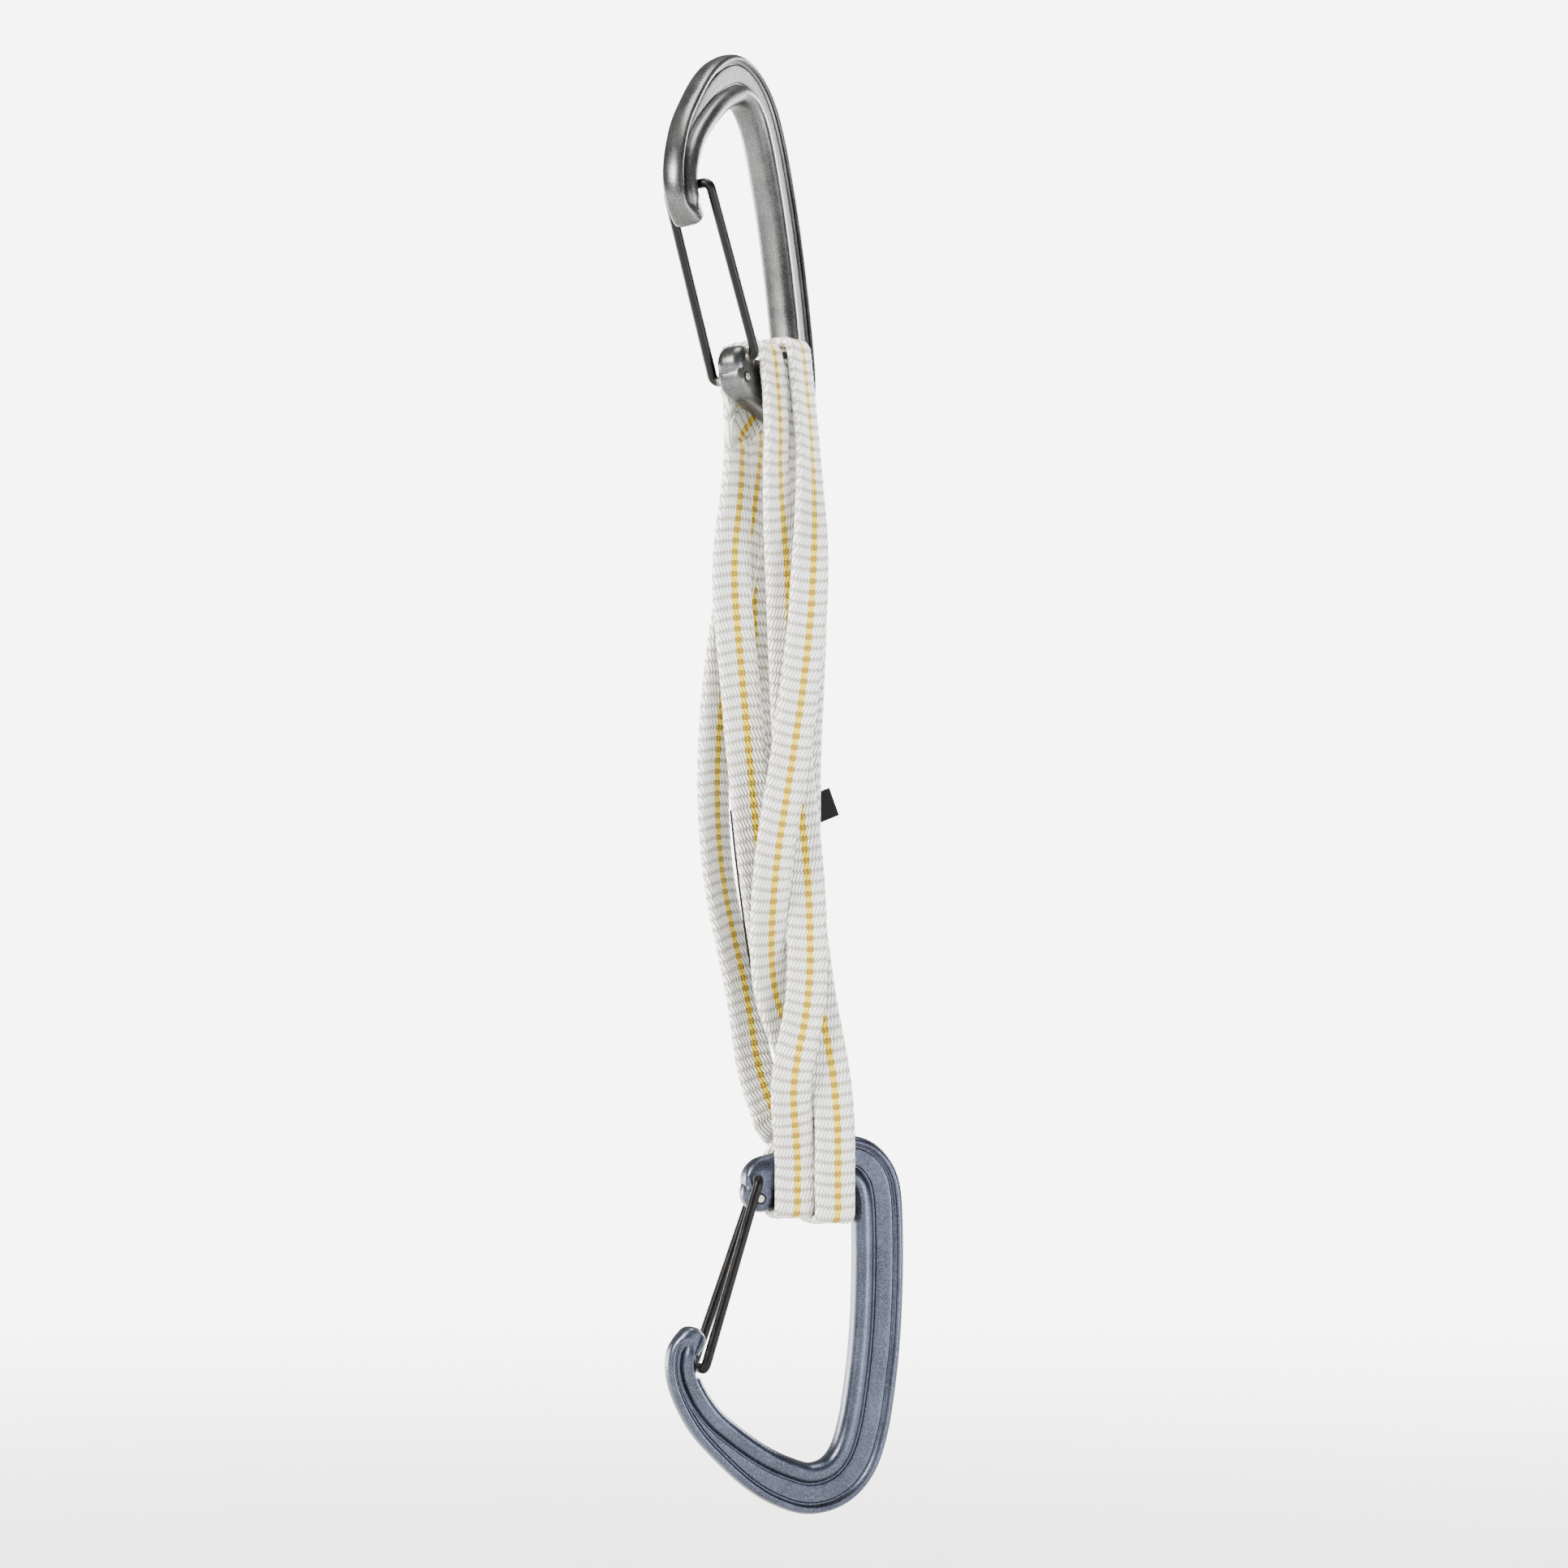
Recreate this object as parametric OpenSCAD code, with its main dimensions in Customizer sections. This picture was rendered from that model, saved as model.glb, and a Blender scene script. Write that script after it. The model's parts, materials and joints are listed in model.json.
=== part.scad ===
// Extendable climbing quickdraw: two wiregate carabiners and one sewn sling
// folded into three turns, hanging from its upper carabiner.
// Origin: the point of the upper carabiner's inner edge that bears on the anchor.
// +Z up, -Y is the front. Millimetres.

/* [Carabiner] */
// Half thickness of the smooth inner flange
flange_t = 3.8; // [3.2:0.1:3.8]
// Width of the inner flange across the bar
flange_w = 4.2; // [3.6:0.1:4.6]
// Half thickness of the outer rim
rim_t = 2.7; // [2.3:0.1:3.2]
// Width of the outer rim across the bar
rim_w = 2.2; // [1.6:0.1:2.4]
// Half thickness of the web between rim and flange
web_t = 1.9; // [1.4:0.1:2.2]
// Half thickness of the hinge end and the nose
boss_t = 3.4; // [3:0.1:3.5]

/* [Wire gate] */
// Radius of the gate wire
wire_r = 1.15; // [1:0.05:1.2]
// Running clearance of a wire end in its bore, on the radius
bore_gap = 0.05; // [0.02:0.01:0.09]
// Distance of each leg's centre from the middle plane
leg_n = 5.7; // [5.6:0.1:6.2]
// Bend radius of the wire's centre line
bend_r = 1.7; // [1.4:0.1:1.7]

/* [Sling] */
// Width of the webbing
web_w = 8.8; // [8:0.1:8.9]
// Thickness of the webbing
web_h = 2.2; // [1.8:0.1:2.2]
// Height between the centres of the two carabiners
hang_h = 254; // [252:1:258]
// Rings between two points of a route
ring_steps = 3; // [2:1:4]

/* [Labels] */
// Thickness of the sewn-in labels
label_t = 0.5; // [0.3:0.1:0.5]
// Free length of the small flag tab
tab_l = 5; // [3:0.5:6]

/* [Hidden] */
$fn = 48;

// ---- Placing of the two carabiners ----
// A carabiner is drawn flat: u across (spine at +u), w along (hinge at +w), n out of its plane.
upper_yaw = 61.5;
upper_lean = -9.7;
upper_roll = 8.4;
lower_yaw = 15;
// Where the upper carabiner's inner edge bears on the anchor, in its flat frame
anchor_uw = [0.2, -31, 0];
// Lower carabiner's centre from the upper one's
hang = [11.1, 6, -hang_h];

function rx(a) = [[1, 0, 0], [0, cos(a), -sin(a)], [0, sin(a), cos(a)]];
function ry(a) = [[cos(a), 0, sin(a)], [0, 1, 0], [-sin(a), 0, cos(a)]];
function rz(a) = [[cos(a), -sin(a), 0], [sin(a), cos(a), 0], [0, 0, 1]];
upper_turn = ry(upper_lean) * rz(upper_yaw) * ry(upper_roll) * rx(180) * rx(90);
lower_turn = rz(lower_yaw) * rx(90);
upper_at = -(upper_turn * anchor_uw);
lower_at = upper_at + hang;

module place_upper() {
    translate(upper_at)
    rotate([0, upper_lean, 0])
    rotate([0, 0, upper_yaw])
    rotate([0, upper_roll, 0])
    rotate([270, 0, 0])
    children();
}

module place_lower() {
    translate(lower_at)
    rotate([0, 0, lower_yaw])
    rotate([90, 0, 0])
    children();
}

// ---- Splines ----
function mix4(a, b, c, d, t) =
    0.5 * (2 * b + (c - a) * t + (2 * a - 5 * b + 4 * c - d) * t * t
    + (3 * b - a - 3 * c + d) * t * t * t);
function curve(pts, steps) =
    let (
        n = len(pts),
        p = concat([2 * pts[0] - pts[1]], pts, [2 * pts[n - 1] - pts[n - 2]])
    )
    [
        for (i = [1 : n - 1], j = [0 : steps - 1])
            mix4(p[i - 1], p[i], p[i + 1], p[i + 2], j / steps),
        pts[n - 1]
    ];
function unit(v) = v / norm(v);
function along(p, i) = unit(p[min(i + 1, len(p) - 1)] - p[max(i - 1, 0)]);

// ---- Carabiner frame ----
// Centre line of the bar from hinge end to nose: u, w and half width
bar_line = curve([
    [-4.6, 33.8, 5.5], [4, 36.0, 5.6], [11, 37.9, 5.8], [17, 37.7, 6.0],
    [20.6, 34.9, 6.1], [22.3, 30.0, 6.1], [22.8, 20, 6.1], [22.7, 8, 6.1],
    [22.1, -4, 6.1], [20.9, -15, 6.1], [19.2, -25, 6.1], [16.6, -32.5, 6.1],
    [12.2, -37.3, 6.1], [6.0, -39.0, 6.1], [-0.4, -37.2, 6.0], [-6.5, -33.9, 5.6],
    [-13.0, -28.8, 5.0], [-18.8, -23.2, 4.5], [-22.8, -17, 4.1], [-24.8, -11.5, 3.8],
    [-24.6, -6.8, 3.7], [-22.6, -3.6, 3.4]
], 3);
bar_last = len(bar_line) - 1;
bar_uw = [for (p = bar_line) [p[0], p[1]]];
// Point of station i at a distance off the centre line, outwards positive
function off(i, d) = let (t = along(bar_uw, i)) bar_uw[i] + d * [-t[1], t[0]];
hinge_boss = [-4.6, 33.8, 5.5];
lobe = [-6.0, 30.6, 4.4];
nose = [-22.6, -3.6, 3.4];
pin_a = [-7.4, 34.0];
pin_b = [-6.5, 29.4];
wire_end = [-20.6, -10.2];
notch_floor = -22.2;

module slab(t) {
    translate([0, 0, -t])
    linear_extrude(2 * t)
    children();
}

module full_bar() {
    polygon(concat(
        [for (i = [0 : bar_last]) off(i, bar_line[i][2])],
        [for (i = [bar_last : -1 : 0]) off(i, -bar_line[i][2])]
    ));
}

module outer_rim() {
    polygon(concat(
        [for (i = [0 : bar_last]) off(i, bar_line[i][2])],
        [for (i = [bar_last : -1 : 0]) off(i, bar_line[i][2] - rim_w)]
    ));
}

module inner_flange() {
    polygon(concat(
        [for (i = [0 : bar_last]) off(i, flange_w - bar_line[i][2])],
        [for (i = [bar_last : -1 : 0]) off(i, -bar_line[i][2])]
    ));
}

module boss(c, t) {
    translate([c[0], c[1], -t])
    cylinder(r = c[2], h = 2 * t);
}

module carabiner_frame() {
    difference() {
        union() {
            slab(web_t) full_bar();
            slab(rim_t) outer_rim();
            slab(flange_t) inner_flange();
            boss(hinge_boss, boss_t);
            boss(lobe, boss_t);
            boss(nose, boss_t - 0.2);
        }
        // Bores for the two wire ends
        for (p = [pin_a, pin_b])
            translate([p[0], p[1], -5])
            cylinder(r = wire_r + bore_gap, h = 10);
        // Notch behind the nose that takes the wire's closed end
        translate([notch_floor, -13.4, -5])
        cube([4, 7.6, 10]);
    }
}

// ---- Wire gate ----
// Where the legs' bends begin, and the length of the core at the closed end
leg_low = leg_n - bend_r;
splice = 0.5;
// One side of the gate, drawn from its pin to wire_end: pin end, bend, leg, bend and closed end
module gate_side(pin, pin_from, cross) {
    reach = wire_end - pin;
    turn = atan2(reach[1], reach[0]);
    leg_l = norm(reach);
    translate([pin[0], pin[1], 0])
    rotate([0, 0, turn]) {
        if (leg_low > pin_from)
            translate([0, 0, pin_from])
            cylinder(r = wire_r, h = leg_low - pin_from);
        translate([bend_r, 0, leg_low])
        rotate([90, 0, 0])
        rotate([0, 0, 90])
        rotate_extrude(angle = 90)
        translate([bend_r, 0])
        circle(r = wire_r);
        translate([bend_r, 0, leg_n])
        rotate([0, 90, 0])
        cylinder(r = wire_r, h = leg_l - 2 * bend_r);
        translate([leg_l - bend_r, 0, leg_low])
        rotate([90, 0, 0])
        rotate_extrude(angle = 90)
        translate([bend_r, 0])
        circle(r = wire_r);
        if (cross > 0)
            translate([leg_l, 0, leg_low - cross])
            cylinder(r = wire_r, h = cross);
    }
}

module gate_wire() {
    gate_side(pin_a, -boss_t, 2 * leg_low - splice);
    mirror([0, 0, 1])
    gate_side(pin_b, leg_low, 0);
    // Core that joins the closed end to the second side's bend
    translate([wire_end[0], wire_end[1], -leg_low - 0.2])
    cylinder(r = wire_r - 0.02, h = splice + 1);
}

// The wire's other end, which turns in its own bore beside the first
module gate_far_end() {
    translate([pin_b[0], pin_b[1], -leg_low])
    cylinder(r = wire_r, h = boss_t + leg_low);
}

// ---- Sling ----
// A turn round a bar in the carabiner's flat frame: place across, half gap and depth of its bend
loop_places = [[1.2, 5.35, 25.75], [10.3, 8.0, 24.5], [10.3, 5.35, 28.8]];
loop_top = 43;
function loop_side(c, side) = [
    [c[0], loop_top, side * c[1]],
    [c[0], 38, side * c[1]],
    [c[0], 33.5, side * c[1]],
    [c[0], c[2] + 2.6, side * c[1]],
    [c[0], c[2] + 0.75, side * (c[1] - 0.6)],
    [c[0], c[2] + 0.1, side * (c[1] - 2.3)]
];
function reversed(v) = [for (i = [len(v) - 1 : -1 : 0]) v[i]];
function loop_flat(c) = concat(loop_side(c, 1), [[c[0], c[2], 0]], reversed(loop_side(c, -1)));
// A route point carries its place and the direction of the webbing's width
function up_pt(p) = concat(upper_at + upper_turn * p, upper_turn * [1, 0, 0]);
function low_pt(p) = concat(lower_at + lower_turn * p, lower_turn * [1, 0, 0]);
function run_pt(p) = concat(upper_at + [p[0], p[1], p[2]], [cos(p[3]), sin(p[3]), 0]);

// The three turns of the one sling. Each goes round the upper bar, down, round the lower
// bar and up: upper loop, lower loop, then the way down and the way up as seven points each,
// x, y, z from the upper carabiner's centre and the yaw of the webbing's width.
turns = [
    [0, 0,
        [[9.2, -6.7, -58, 56], [11.1, -2.5, -76, 26], [12, -0.2, -97, 20], [13.4, 1.4, -124, 17],
            [16.1, 1.3, -150, 16], [16.4, -0.2, -177, 13], [12.4, -2.8, -198, 11]],
        [[4.1, 4.8, -58, 49], [0.8, 2, -76, 27], [-3, 2.7, -97, 29], [-5.5, 4.6, -124, 42],
            [-4.2, 6.8, -150, 46], [1.5, 9.3, -177, 38], [5, 10.5, -198, 24]]],
    [2, 1,
        [[13.4, 3.2, -58, 50], [16.7, 4.8, -76, 27], [16.4, 4.7, -97, 20], [15.2, 4.9, -124, 17],
            [15.6, 4.9, -150, 20], [18.7, 3.6, -177, 17], [22.5, 1.6, -198, 12]],
        [[1.6, 8, -58, 47], [3.2, 7.3, -76, 27], [3.4, 9.3, -97, 16], [4.7, 8.1, -124, 19],
            [7, 9.8, -150, 20], [11.8, 12.3, -177, 20], [16.7, 15.1, -198, 18]]],
    [1, 2,
        [[17.2, -3.2, -58, 55], [17.3, -5.3, -76, 26], [15.9, -4.3, -97, 20], [12.1, -3.4, -124, 18],
            [8.2, -4.3, -150, 24], [8, 3.2, -177, 38], [17.6, 6.8, -198, 14]],
        [[0.4, -4.4, -58, 45], [-1.5, -2.7, -76, 24], [0.2, -0.8, -97, 18], [2.6, 0.9, -124, 18],
            [5.3, 3.2, -150, 20], [9.5, 8.2, -177, 23], [16.4, 10.7, -198, 18]]]
];
function one_turn(m) = concat(
    [for (p = loop_flat(loop_places[m[0]])) up_pt(p)],
    [for (p = m[2]) run_pt(p)],
    [for (p = loop_flat(loop_places[m[1]])) low_pt(p)],
    [for (p = reversed(m[3])) run_pt(p)]
);
turn_pts = 40;
sling_pts = [for (m = turns, p = one_turn(m)) p];
sling_n = len(sling_pts);
function sling_pt(i) = sling_pts[(i + sling_n) % sling_n];
// The closed route, resampled: ring_steps rings from each route point to the next
sling_rings = [
    for (i = [0 : sling_n - 1], j = [0 : ring_steps - 1])
        mix4(sling_pt(i - 1), sling_pt(i), sling_pt(i + 1), sling_pt(i + 2), j / ring_steps)
];
ring_n = len(sling_rings);
function ring_at(i) = sling_rings[(i + ring_n) % ring_n];
function place_of(r) = [r[0], r[1], r[2]];
// Axes of the webbing at a ring: across its width, and out of its face
function web_axes(i) =
    let (
        t = unit(place_of(ring_at(i + 1)) - place_of(ring_at(i - 1))),
        wide = [ring_at(i)[3], ring_at(i)[4], ring_at(i)[5]],
        x = unit(wide - (wide * t) * t)
    )
    [x, cross(t, x)];

// Outline of the webbing's cross section: across and through
function web_outline(w, h) = [
    [w / 2, -h / 4], [w / 2, h / 4], [w / 2 - h / 4, h / 2], [h / 4 - w / 2, h / 2],
    [-w / 2, h / 4], [-w / 2, -h / 4], [h / 4 - w / 2, -h / 2], [w / 2 - h / 4, -h / 2]
];

// Sweeps a cross section along the sling's route between two rings
module ribbon(first, last, w, h, shift = [0, 0]) {
    outline = web_outline(w, h);
    n = len(outline);
    spans = last - first;
    rings = [
        for (i = [first : last])
            let (axes = web_axes(i))
            for (q = outline)
                place_of(ring_at(i)) + (q[0] + shift[0]) * axes[0] + (q[1] + shift[1]) * axes[1]
    ];
    polyhedron(
        points = rings,
        faces = concat(
            [[for (j = [0 : n - 1]) j]],
            [for (i = [0 : spans - 1], j = [0 : n - 1])
                [i * n + j, (i + 1) * n + j, (i + 1) * n + (j + 1) % n]],
            [for (i = [0 : spans - 1], j = [0 : n - 1])
                [i * n + j, (i + 1) * n + (j + 1) % n, i * n + (j + 1) % n]],
            [[for (j = [n - 1 : -1 : 0]) n * spans + j]]
        )
    );
}

// One stretch of every turn, between two route points counted from the turn's first
module stretch(first, last) {
    for (m = [0 : len(turns) - 1])
        ribbon((m * turn_pts + first) * ring_steps, (m * turn_pts + last) * ring_steps, web_w, web_h);
}

// ---- Sub-parts ----
module upper_frame() {
    color("#7b7f82")
    place_upper()
    carabiner_frame();
}

module upper_gate_wire() {
    color("#2a2624")
    place_upper()
    gate_wire();
}

module upper_gate_far_end() {
    color("#b9b7b2")
    place_upper()
    gate_far_end();
}

module lower_frame() {
    color("#6f7889")
    place_lower()
    carabiner_frame();
}

module lower_gate_wire() {
    color("#2a2624")
    place_lower()
    gate_wire();
}

module lower_gate_far_end() {
    color("#b9b7b2")
    place_lower()
    gate_far_end();
}

module sling_top_loops() {
    color("#efefe6")
    stretch(0, 12);
}

module sling_top_flex() {
    color("#e6e4d8") {
        stretch(12, 13);
        stretch(39, 40);
    }
}

module sling_upper_run() {
    color("#efefe6") {
        stretch(13, 14);
        stretch(38, 39);
    }
}

module sling_mid_flex() {
    color("#e6e4d8") {
        stretch(14, 15);
        stretch(37, 38);
    }
}

module sling_lower_run() {
    color("#efefe6") {
        stretch(15, 19);
        stretch(33, 37);
    }
}

module sling_bottom_flex() {
    color("#e6e4d8") {
        stretch(19, 20);
        stretch(32, 33);
    }
}

module sling_bottom_loops() {
    color("#efefe6")
    stretch(20, 32);
}

// The sling's end, lapped on its own strand and sewn down
overlap_gap = 0.7;
overlap_shift = -web_h - overlap_gap;
lap_first = (turn_pts + 15) * ring_steps + 2;
lap_last = (turn_pts + 17) * ring_steps + 2;
module sling_overlap() {
    color("#f4f3ea")
    ribbon(lap_first, lap_last, web_w - 0.4, web_h, [0, overlap_shift]);
}

// Two stitched patches on the lap, over its stripe
tack_w = 3;
tack_h = 0.4;
module bar_tacks() {
    color("#9a9a94")
    for (first = [lap_first, lap_last - 2])
        ribbon(first, first + 2, tack_w, tack_h,
            [0, overlap_shift - web_h / 2 - tack_h / 2 - 0.08]);
}

// Long label sewn along the back of the slack strand
label_first = 34 * ring_steps;
module long_label() {
    color("#1b1a1a")
    ribbon(label_first, label_first + 5, web_w, label_t, [0, web_h / 2 + label_t / 2 + 0.3]);
}

// Small tab that sticks out sideways between the strand and its lap
tab_in = 3;
module flag_tab() {
    color("#1b1a1a")
    ribbon(lap_first + 2, lap_first + 3, tab_l + tab_in, label_t,
        [web_w / 2 + (tab_l - tab_in) / 2, -web_h / 2 - overlap_gap / 2]);
}

upper_frame();
upper_gate_wire();
upper_gate_far_end();
sling_top_loops();
sling_top_flex();
sling_upper_run();
sling_mid_flex();
sling_lower_run();
sling_bottom_flex();
sling_bottom_loops();
sling_overlap();
bar_tacks();
long_label();
flag_tab();
lower_frame();
lower_gate_wire();
lower_gate_far_end();
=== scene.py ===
"""Looks of a climbing quickdraw: two forged carabiners, their wire gates and a woven sling.

Lengths are in millimetres, apart from what goes to Blender or the frame, which is in metres."""

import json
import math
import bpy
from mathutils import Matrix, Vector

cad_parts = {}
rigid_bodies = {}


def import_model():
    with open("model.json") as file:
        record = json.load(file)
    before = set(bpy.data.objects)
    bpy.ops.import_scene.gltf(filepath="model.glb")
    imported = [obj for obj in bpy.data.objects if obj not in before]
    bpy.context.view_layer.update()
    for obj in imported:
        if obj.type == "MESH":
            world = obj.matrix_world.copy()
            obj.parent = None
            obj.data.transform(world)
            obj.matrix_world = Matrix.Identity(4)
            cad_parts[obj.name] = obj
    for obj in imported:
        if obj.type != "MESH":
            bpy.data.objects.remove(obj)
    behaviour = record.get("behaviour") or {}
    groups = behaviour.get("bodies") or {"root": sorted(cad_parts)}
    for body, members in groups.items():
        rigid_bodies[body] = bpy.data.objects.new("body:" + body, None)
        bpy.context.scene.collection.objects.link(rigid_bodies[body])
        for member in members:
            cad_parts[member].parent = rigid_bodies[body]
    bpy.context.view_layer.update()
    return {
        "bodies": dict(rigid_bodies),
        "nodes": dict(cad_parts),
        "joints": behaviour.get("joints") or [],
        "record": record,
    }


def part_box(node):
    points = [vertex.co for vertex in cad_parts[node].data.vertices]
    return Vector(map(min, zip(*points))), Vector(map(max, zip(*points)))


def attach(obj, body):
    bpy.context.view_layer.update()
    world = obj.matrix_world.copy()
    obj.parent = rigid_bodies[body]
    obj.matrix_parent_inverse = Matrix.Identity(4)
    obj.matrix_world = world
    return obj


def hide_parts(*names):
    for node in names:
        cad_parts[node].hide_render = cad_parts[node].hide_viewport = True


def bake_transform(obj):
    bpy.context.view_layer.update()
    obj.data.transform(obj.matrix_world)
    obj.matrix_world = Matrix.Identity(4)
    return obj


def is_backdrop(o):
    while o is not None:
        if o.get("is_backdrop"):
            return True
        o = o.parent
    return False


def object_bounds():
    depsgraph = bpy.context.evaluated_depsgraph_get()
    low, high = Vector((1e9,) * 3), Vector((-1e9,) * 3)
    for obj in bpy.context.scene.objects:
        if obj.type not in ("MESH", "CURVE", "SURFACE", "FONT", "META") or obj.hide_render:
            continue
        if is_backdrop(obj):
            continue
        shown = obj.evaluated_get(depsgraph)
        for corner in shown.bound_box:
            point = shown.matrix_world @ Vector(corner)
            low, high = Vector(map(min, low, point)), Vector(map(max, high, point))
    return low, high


bl_info = {
    "name": "Climbing quickdraw looks",
    "version": (1, 0, 0),
    "blender": (4, 5, 0),
    "location": "View3D > Sidebar > Quickdraw",
    "description": "Builds the detailed carabiners, wire gates and woven sling round the packed part",
    "category": "Object",
}

from functools import partial
from types import SimpleNamespace

import bmesh
import bpy
from mathutils import Matrix, Vector

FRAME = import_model()

MM = 0.001
SIDES = ("upper", "lower")

# Flat frame of a carabiner: u across with the spine at +u, w along with the hinge at +w,
# n out of its plane. Centre line of the bar from hinge to nose, and its half width.
BAR = (
    (-4.6, 33.8, 5.5), (4, 36.0, 5.6), (11, 37.9, 5.8), (17, 37.7, 6.0),
    (20.6, 34.9, 6.1), (22.3, 30.0, 6.1), (22.8, 20, 6.1), (22.7, 8, 6.1),
    (22.1, -4, 6.1), (20.9, -15, 6.1), (19.2, -25, 6.1), (16.6, -32.5, 6.1),
    (12.2, -37.3, 6.1), (6.0, -39.0, 6.1), (-0.4, -37.2, 6.0), (-6.5, -33.9, 5.6),
    (-13.0, -28.8, 5.0), (-18.8, -23.2, 4.5), (-22.8, -17, 4.1), (-24.8, -11.5, 3.8),
    (-24.6, -6.8, 3.7), (-22.6, -3.6, 3.4),
)
# The two offset bores that hold the wire's ends, and the middle of the boss round them
PIN_A = Vector((-7.4, 34.0, 0))
PIN_B = Vector((-6.5, 29.4, 0))
LOBE = Vector((-6.0, 30.6, 0))
# Middle of the gate's closed end, a leg's distance from the middle plane, and its bends' radius
WIRE_END = Vector((-20.6, -10.2, 0))
LEG_N = 5.7
BEND = 1.7
# The point of a gate leg where the bending stretch ends, about 20 mm from its foot
LEG_SPLIT = 24
# Middle of the upper basket, which is the part's origin, and the lower carabiner's place from
# the upper one's
ANCHOR = Vector((0.2, -31.0, 0))
HANG = Vector((11.1, 6, -254))
# Turns of the sling round a bar: place across, half gap, depth of the bend
LOOPS = ((1.2, 5.35, 25.75), (10.3, 8.0, 24.5), (10.3, 5.35, 28.8))
# Each turn's upper and lower loop
TURNS = ((0, 0), (2, 1), (1, 2))
# Level over a carabiner's centre where the strands leave its loops, in mm
LOOPS_END = 43
# Places between two knots of the sling's first curve
KNOT_STEPS = 12
# Brightness of the backdrop, and of the room that the metal mirrors
BACKDROP = 8.0
ROOM = 0.4
# What a later step takes from an earlier one: the sling's route and its cloth
SHOP = {}


# ---- Properties ----
def linear(colour):
    """An sRGB hex colour as linear RGBA."""
    parts = [int(colour[i : i + 2], 16) / 255 for i in (1, 3, 5)]
    return [c / 12.92 if c <= 0.04045 else ((c + 0.055) / 1.055) ** 2.4 for c in parts] + [1.0]


class QuickdrawCarabiner(bpy.types.PropertyGroup):
    rim: bpy.props.FloatProperty(
        name="Rim half thickness", description="Half the bar's thickness at its outer edge",
        default=0.0027, min=0.002, max=0.0034, precision=5, unit="LENGTH",
    )
    web: bpy.props.FloatProperty(
        name="Web half thickness", description="Half the bar's thickness where it is forged thin",
        default=0.00185, min=0.0012, max=0.0024, precision=5, unit="LENGTH",
    )
    flange: bpy.props.FloatProperty(
        name="Flange half thickness", description="Half the thickness of the rounded inner edge",
        default=0.0038, min=0.003, max=0.004, precision=5, unit="LENGTH",
    )
    boss: bpy.props.FloatProperty(
        name="Boss half thickness", description="Half the thickness of the bar at the hinge and the nose",
        default=0.0034, min=0.003, max=0.0036, precision=5, unit="LENGTH",
    )
    crown: bpy.props.FloatProperty(
        name="Crown of the outer edge", description="How far the outer edge is rounded over",
        default=0.0006, min=0.0, max=0.001, precision=5, unit="LENGTH",
    )
    groove: bpy.props.FloatProperty(
        name="Groove depth", description="Depth of the grooves on both sides of the web",
        default=0.00035, min=0.0, max=0.0008, precision=5, unit="LENGTH",
    )
    step: bpy.props.FloatProperty(
        name="Ring spacing", description="Distance between the rings of points along the bar",
        default=0.0006, min=0.0003, max=0.002, precision=5, unit="LENGTH",
    )
    upper_dark: bpy.props.FloatVectorProperty(
        name="Upper anodising, dark", description="Darker tone of the grey carabiner",
        default=linear("#3c3c3b"), min=0, max=1, size=4, subtype="COLOR",
    )
    upper_light: bpy.props.FloatVectorProperty(
        name="Upper anodising, light", description="Lighter tone of the grey carabiner",
        default=linear("#4c4c4a"), min=0, max=1, size=4, subtype="COLOR",
    )
    lower_dark: bpy.props.FloatVectorProperty(
        name="Lower anodising, dark", description="Darker tone of the blue-grey carabiner",
        default=linear("#2f333e"), min=0, max=1, size=4, subtype="COLOR",
    )
    lower_light: bpy.props.FloatVectorProperty(
        name="Lower anodising, light", description="Lighter tone of the blue-grey carabiner",
        default=linear("#3d4250"), min=0, max=1, size=4, subtype="COLOR",
    )
    grain: bpy.props.FloatVectorProperty(
        name="Blasted grain", description="Bright points of the bead-blasted grain",
        default=linear("#868c96"), min=0, max=1, size=4, subtype="COLOR",
    )
    scuff: bpy.props.FloatVectorProperty(
        name="Scuffs", description="Alloy showing where the anodising is scuffed",
        default=linear("#a4a7a9"), min=0, max=1, size=4, subtype="COLOR",
    )


class QuickdrawGate(bpy.types.PropertyGroup):
    radius: bpy.props.FloatProperty(
        name="Wire radius", description="Radius of the gate's wire",
        default=0.00115, min=0.0008, max=0.0013, precision=5, unit="LENGTH",
    )
    around: bpy.props.IntProperty(
        name="Points round the wire", description="How many points make the wire's section",
        default=24, min=8, max=48,
    )
    coat_dark: bpy.props.FloatVectorProperty(
        name="Coating, dark", description="Darker tone of the wire's coating",
        default=linear("#050404"), min=0, max=1, size=4, subtype="COLOR",
    )
    coat_light: bpy.props.FloatVectorProperty(
        name="Coating, light", description="Lighter tone of the wire's coating",
        default=linear("#0b0908"), min=0, max=1, size=4, subtype="COLOR",
    )
    rubbed: bpy.props.FloatVectorProperty(
        name="Rubbed coating", description="Steel showing through where the wire rubs",
        default=linear("#6b6863"), min=0, max=1, size=4, subtype="COLOR",
    )
    steel_dark: bpy.props.FloatVectorProperty(
        name="Steel, dark", description="Darker tone of the bare wire ends",
        default=linear("#7e7c78"), min=0, max=1, size=4, subtype="COLOR",
    )
    steel_light: bpy.props.FloatVectorProperty(
        name="Steel, light", description="Lighter tone of the bare wire ends",
        default=linear("#b9b7b2"), min=0, max=1, size=4, subtype="COLOR",
    )


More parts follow.
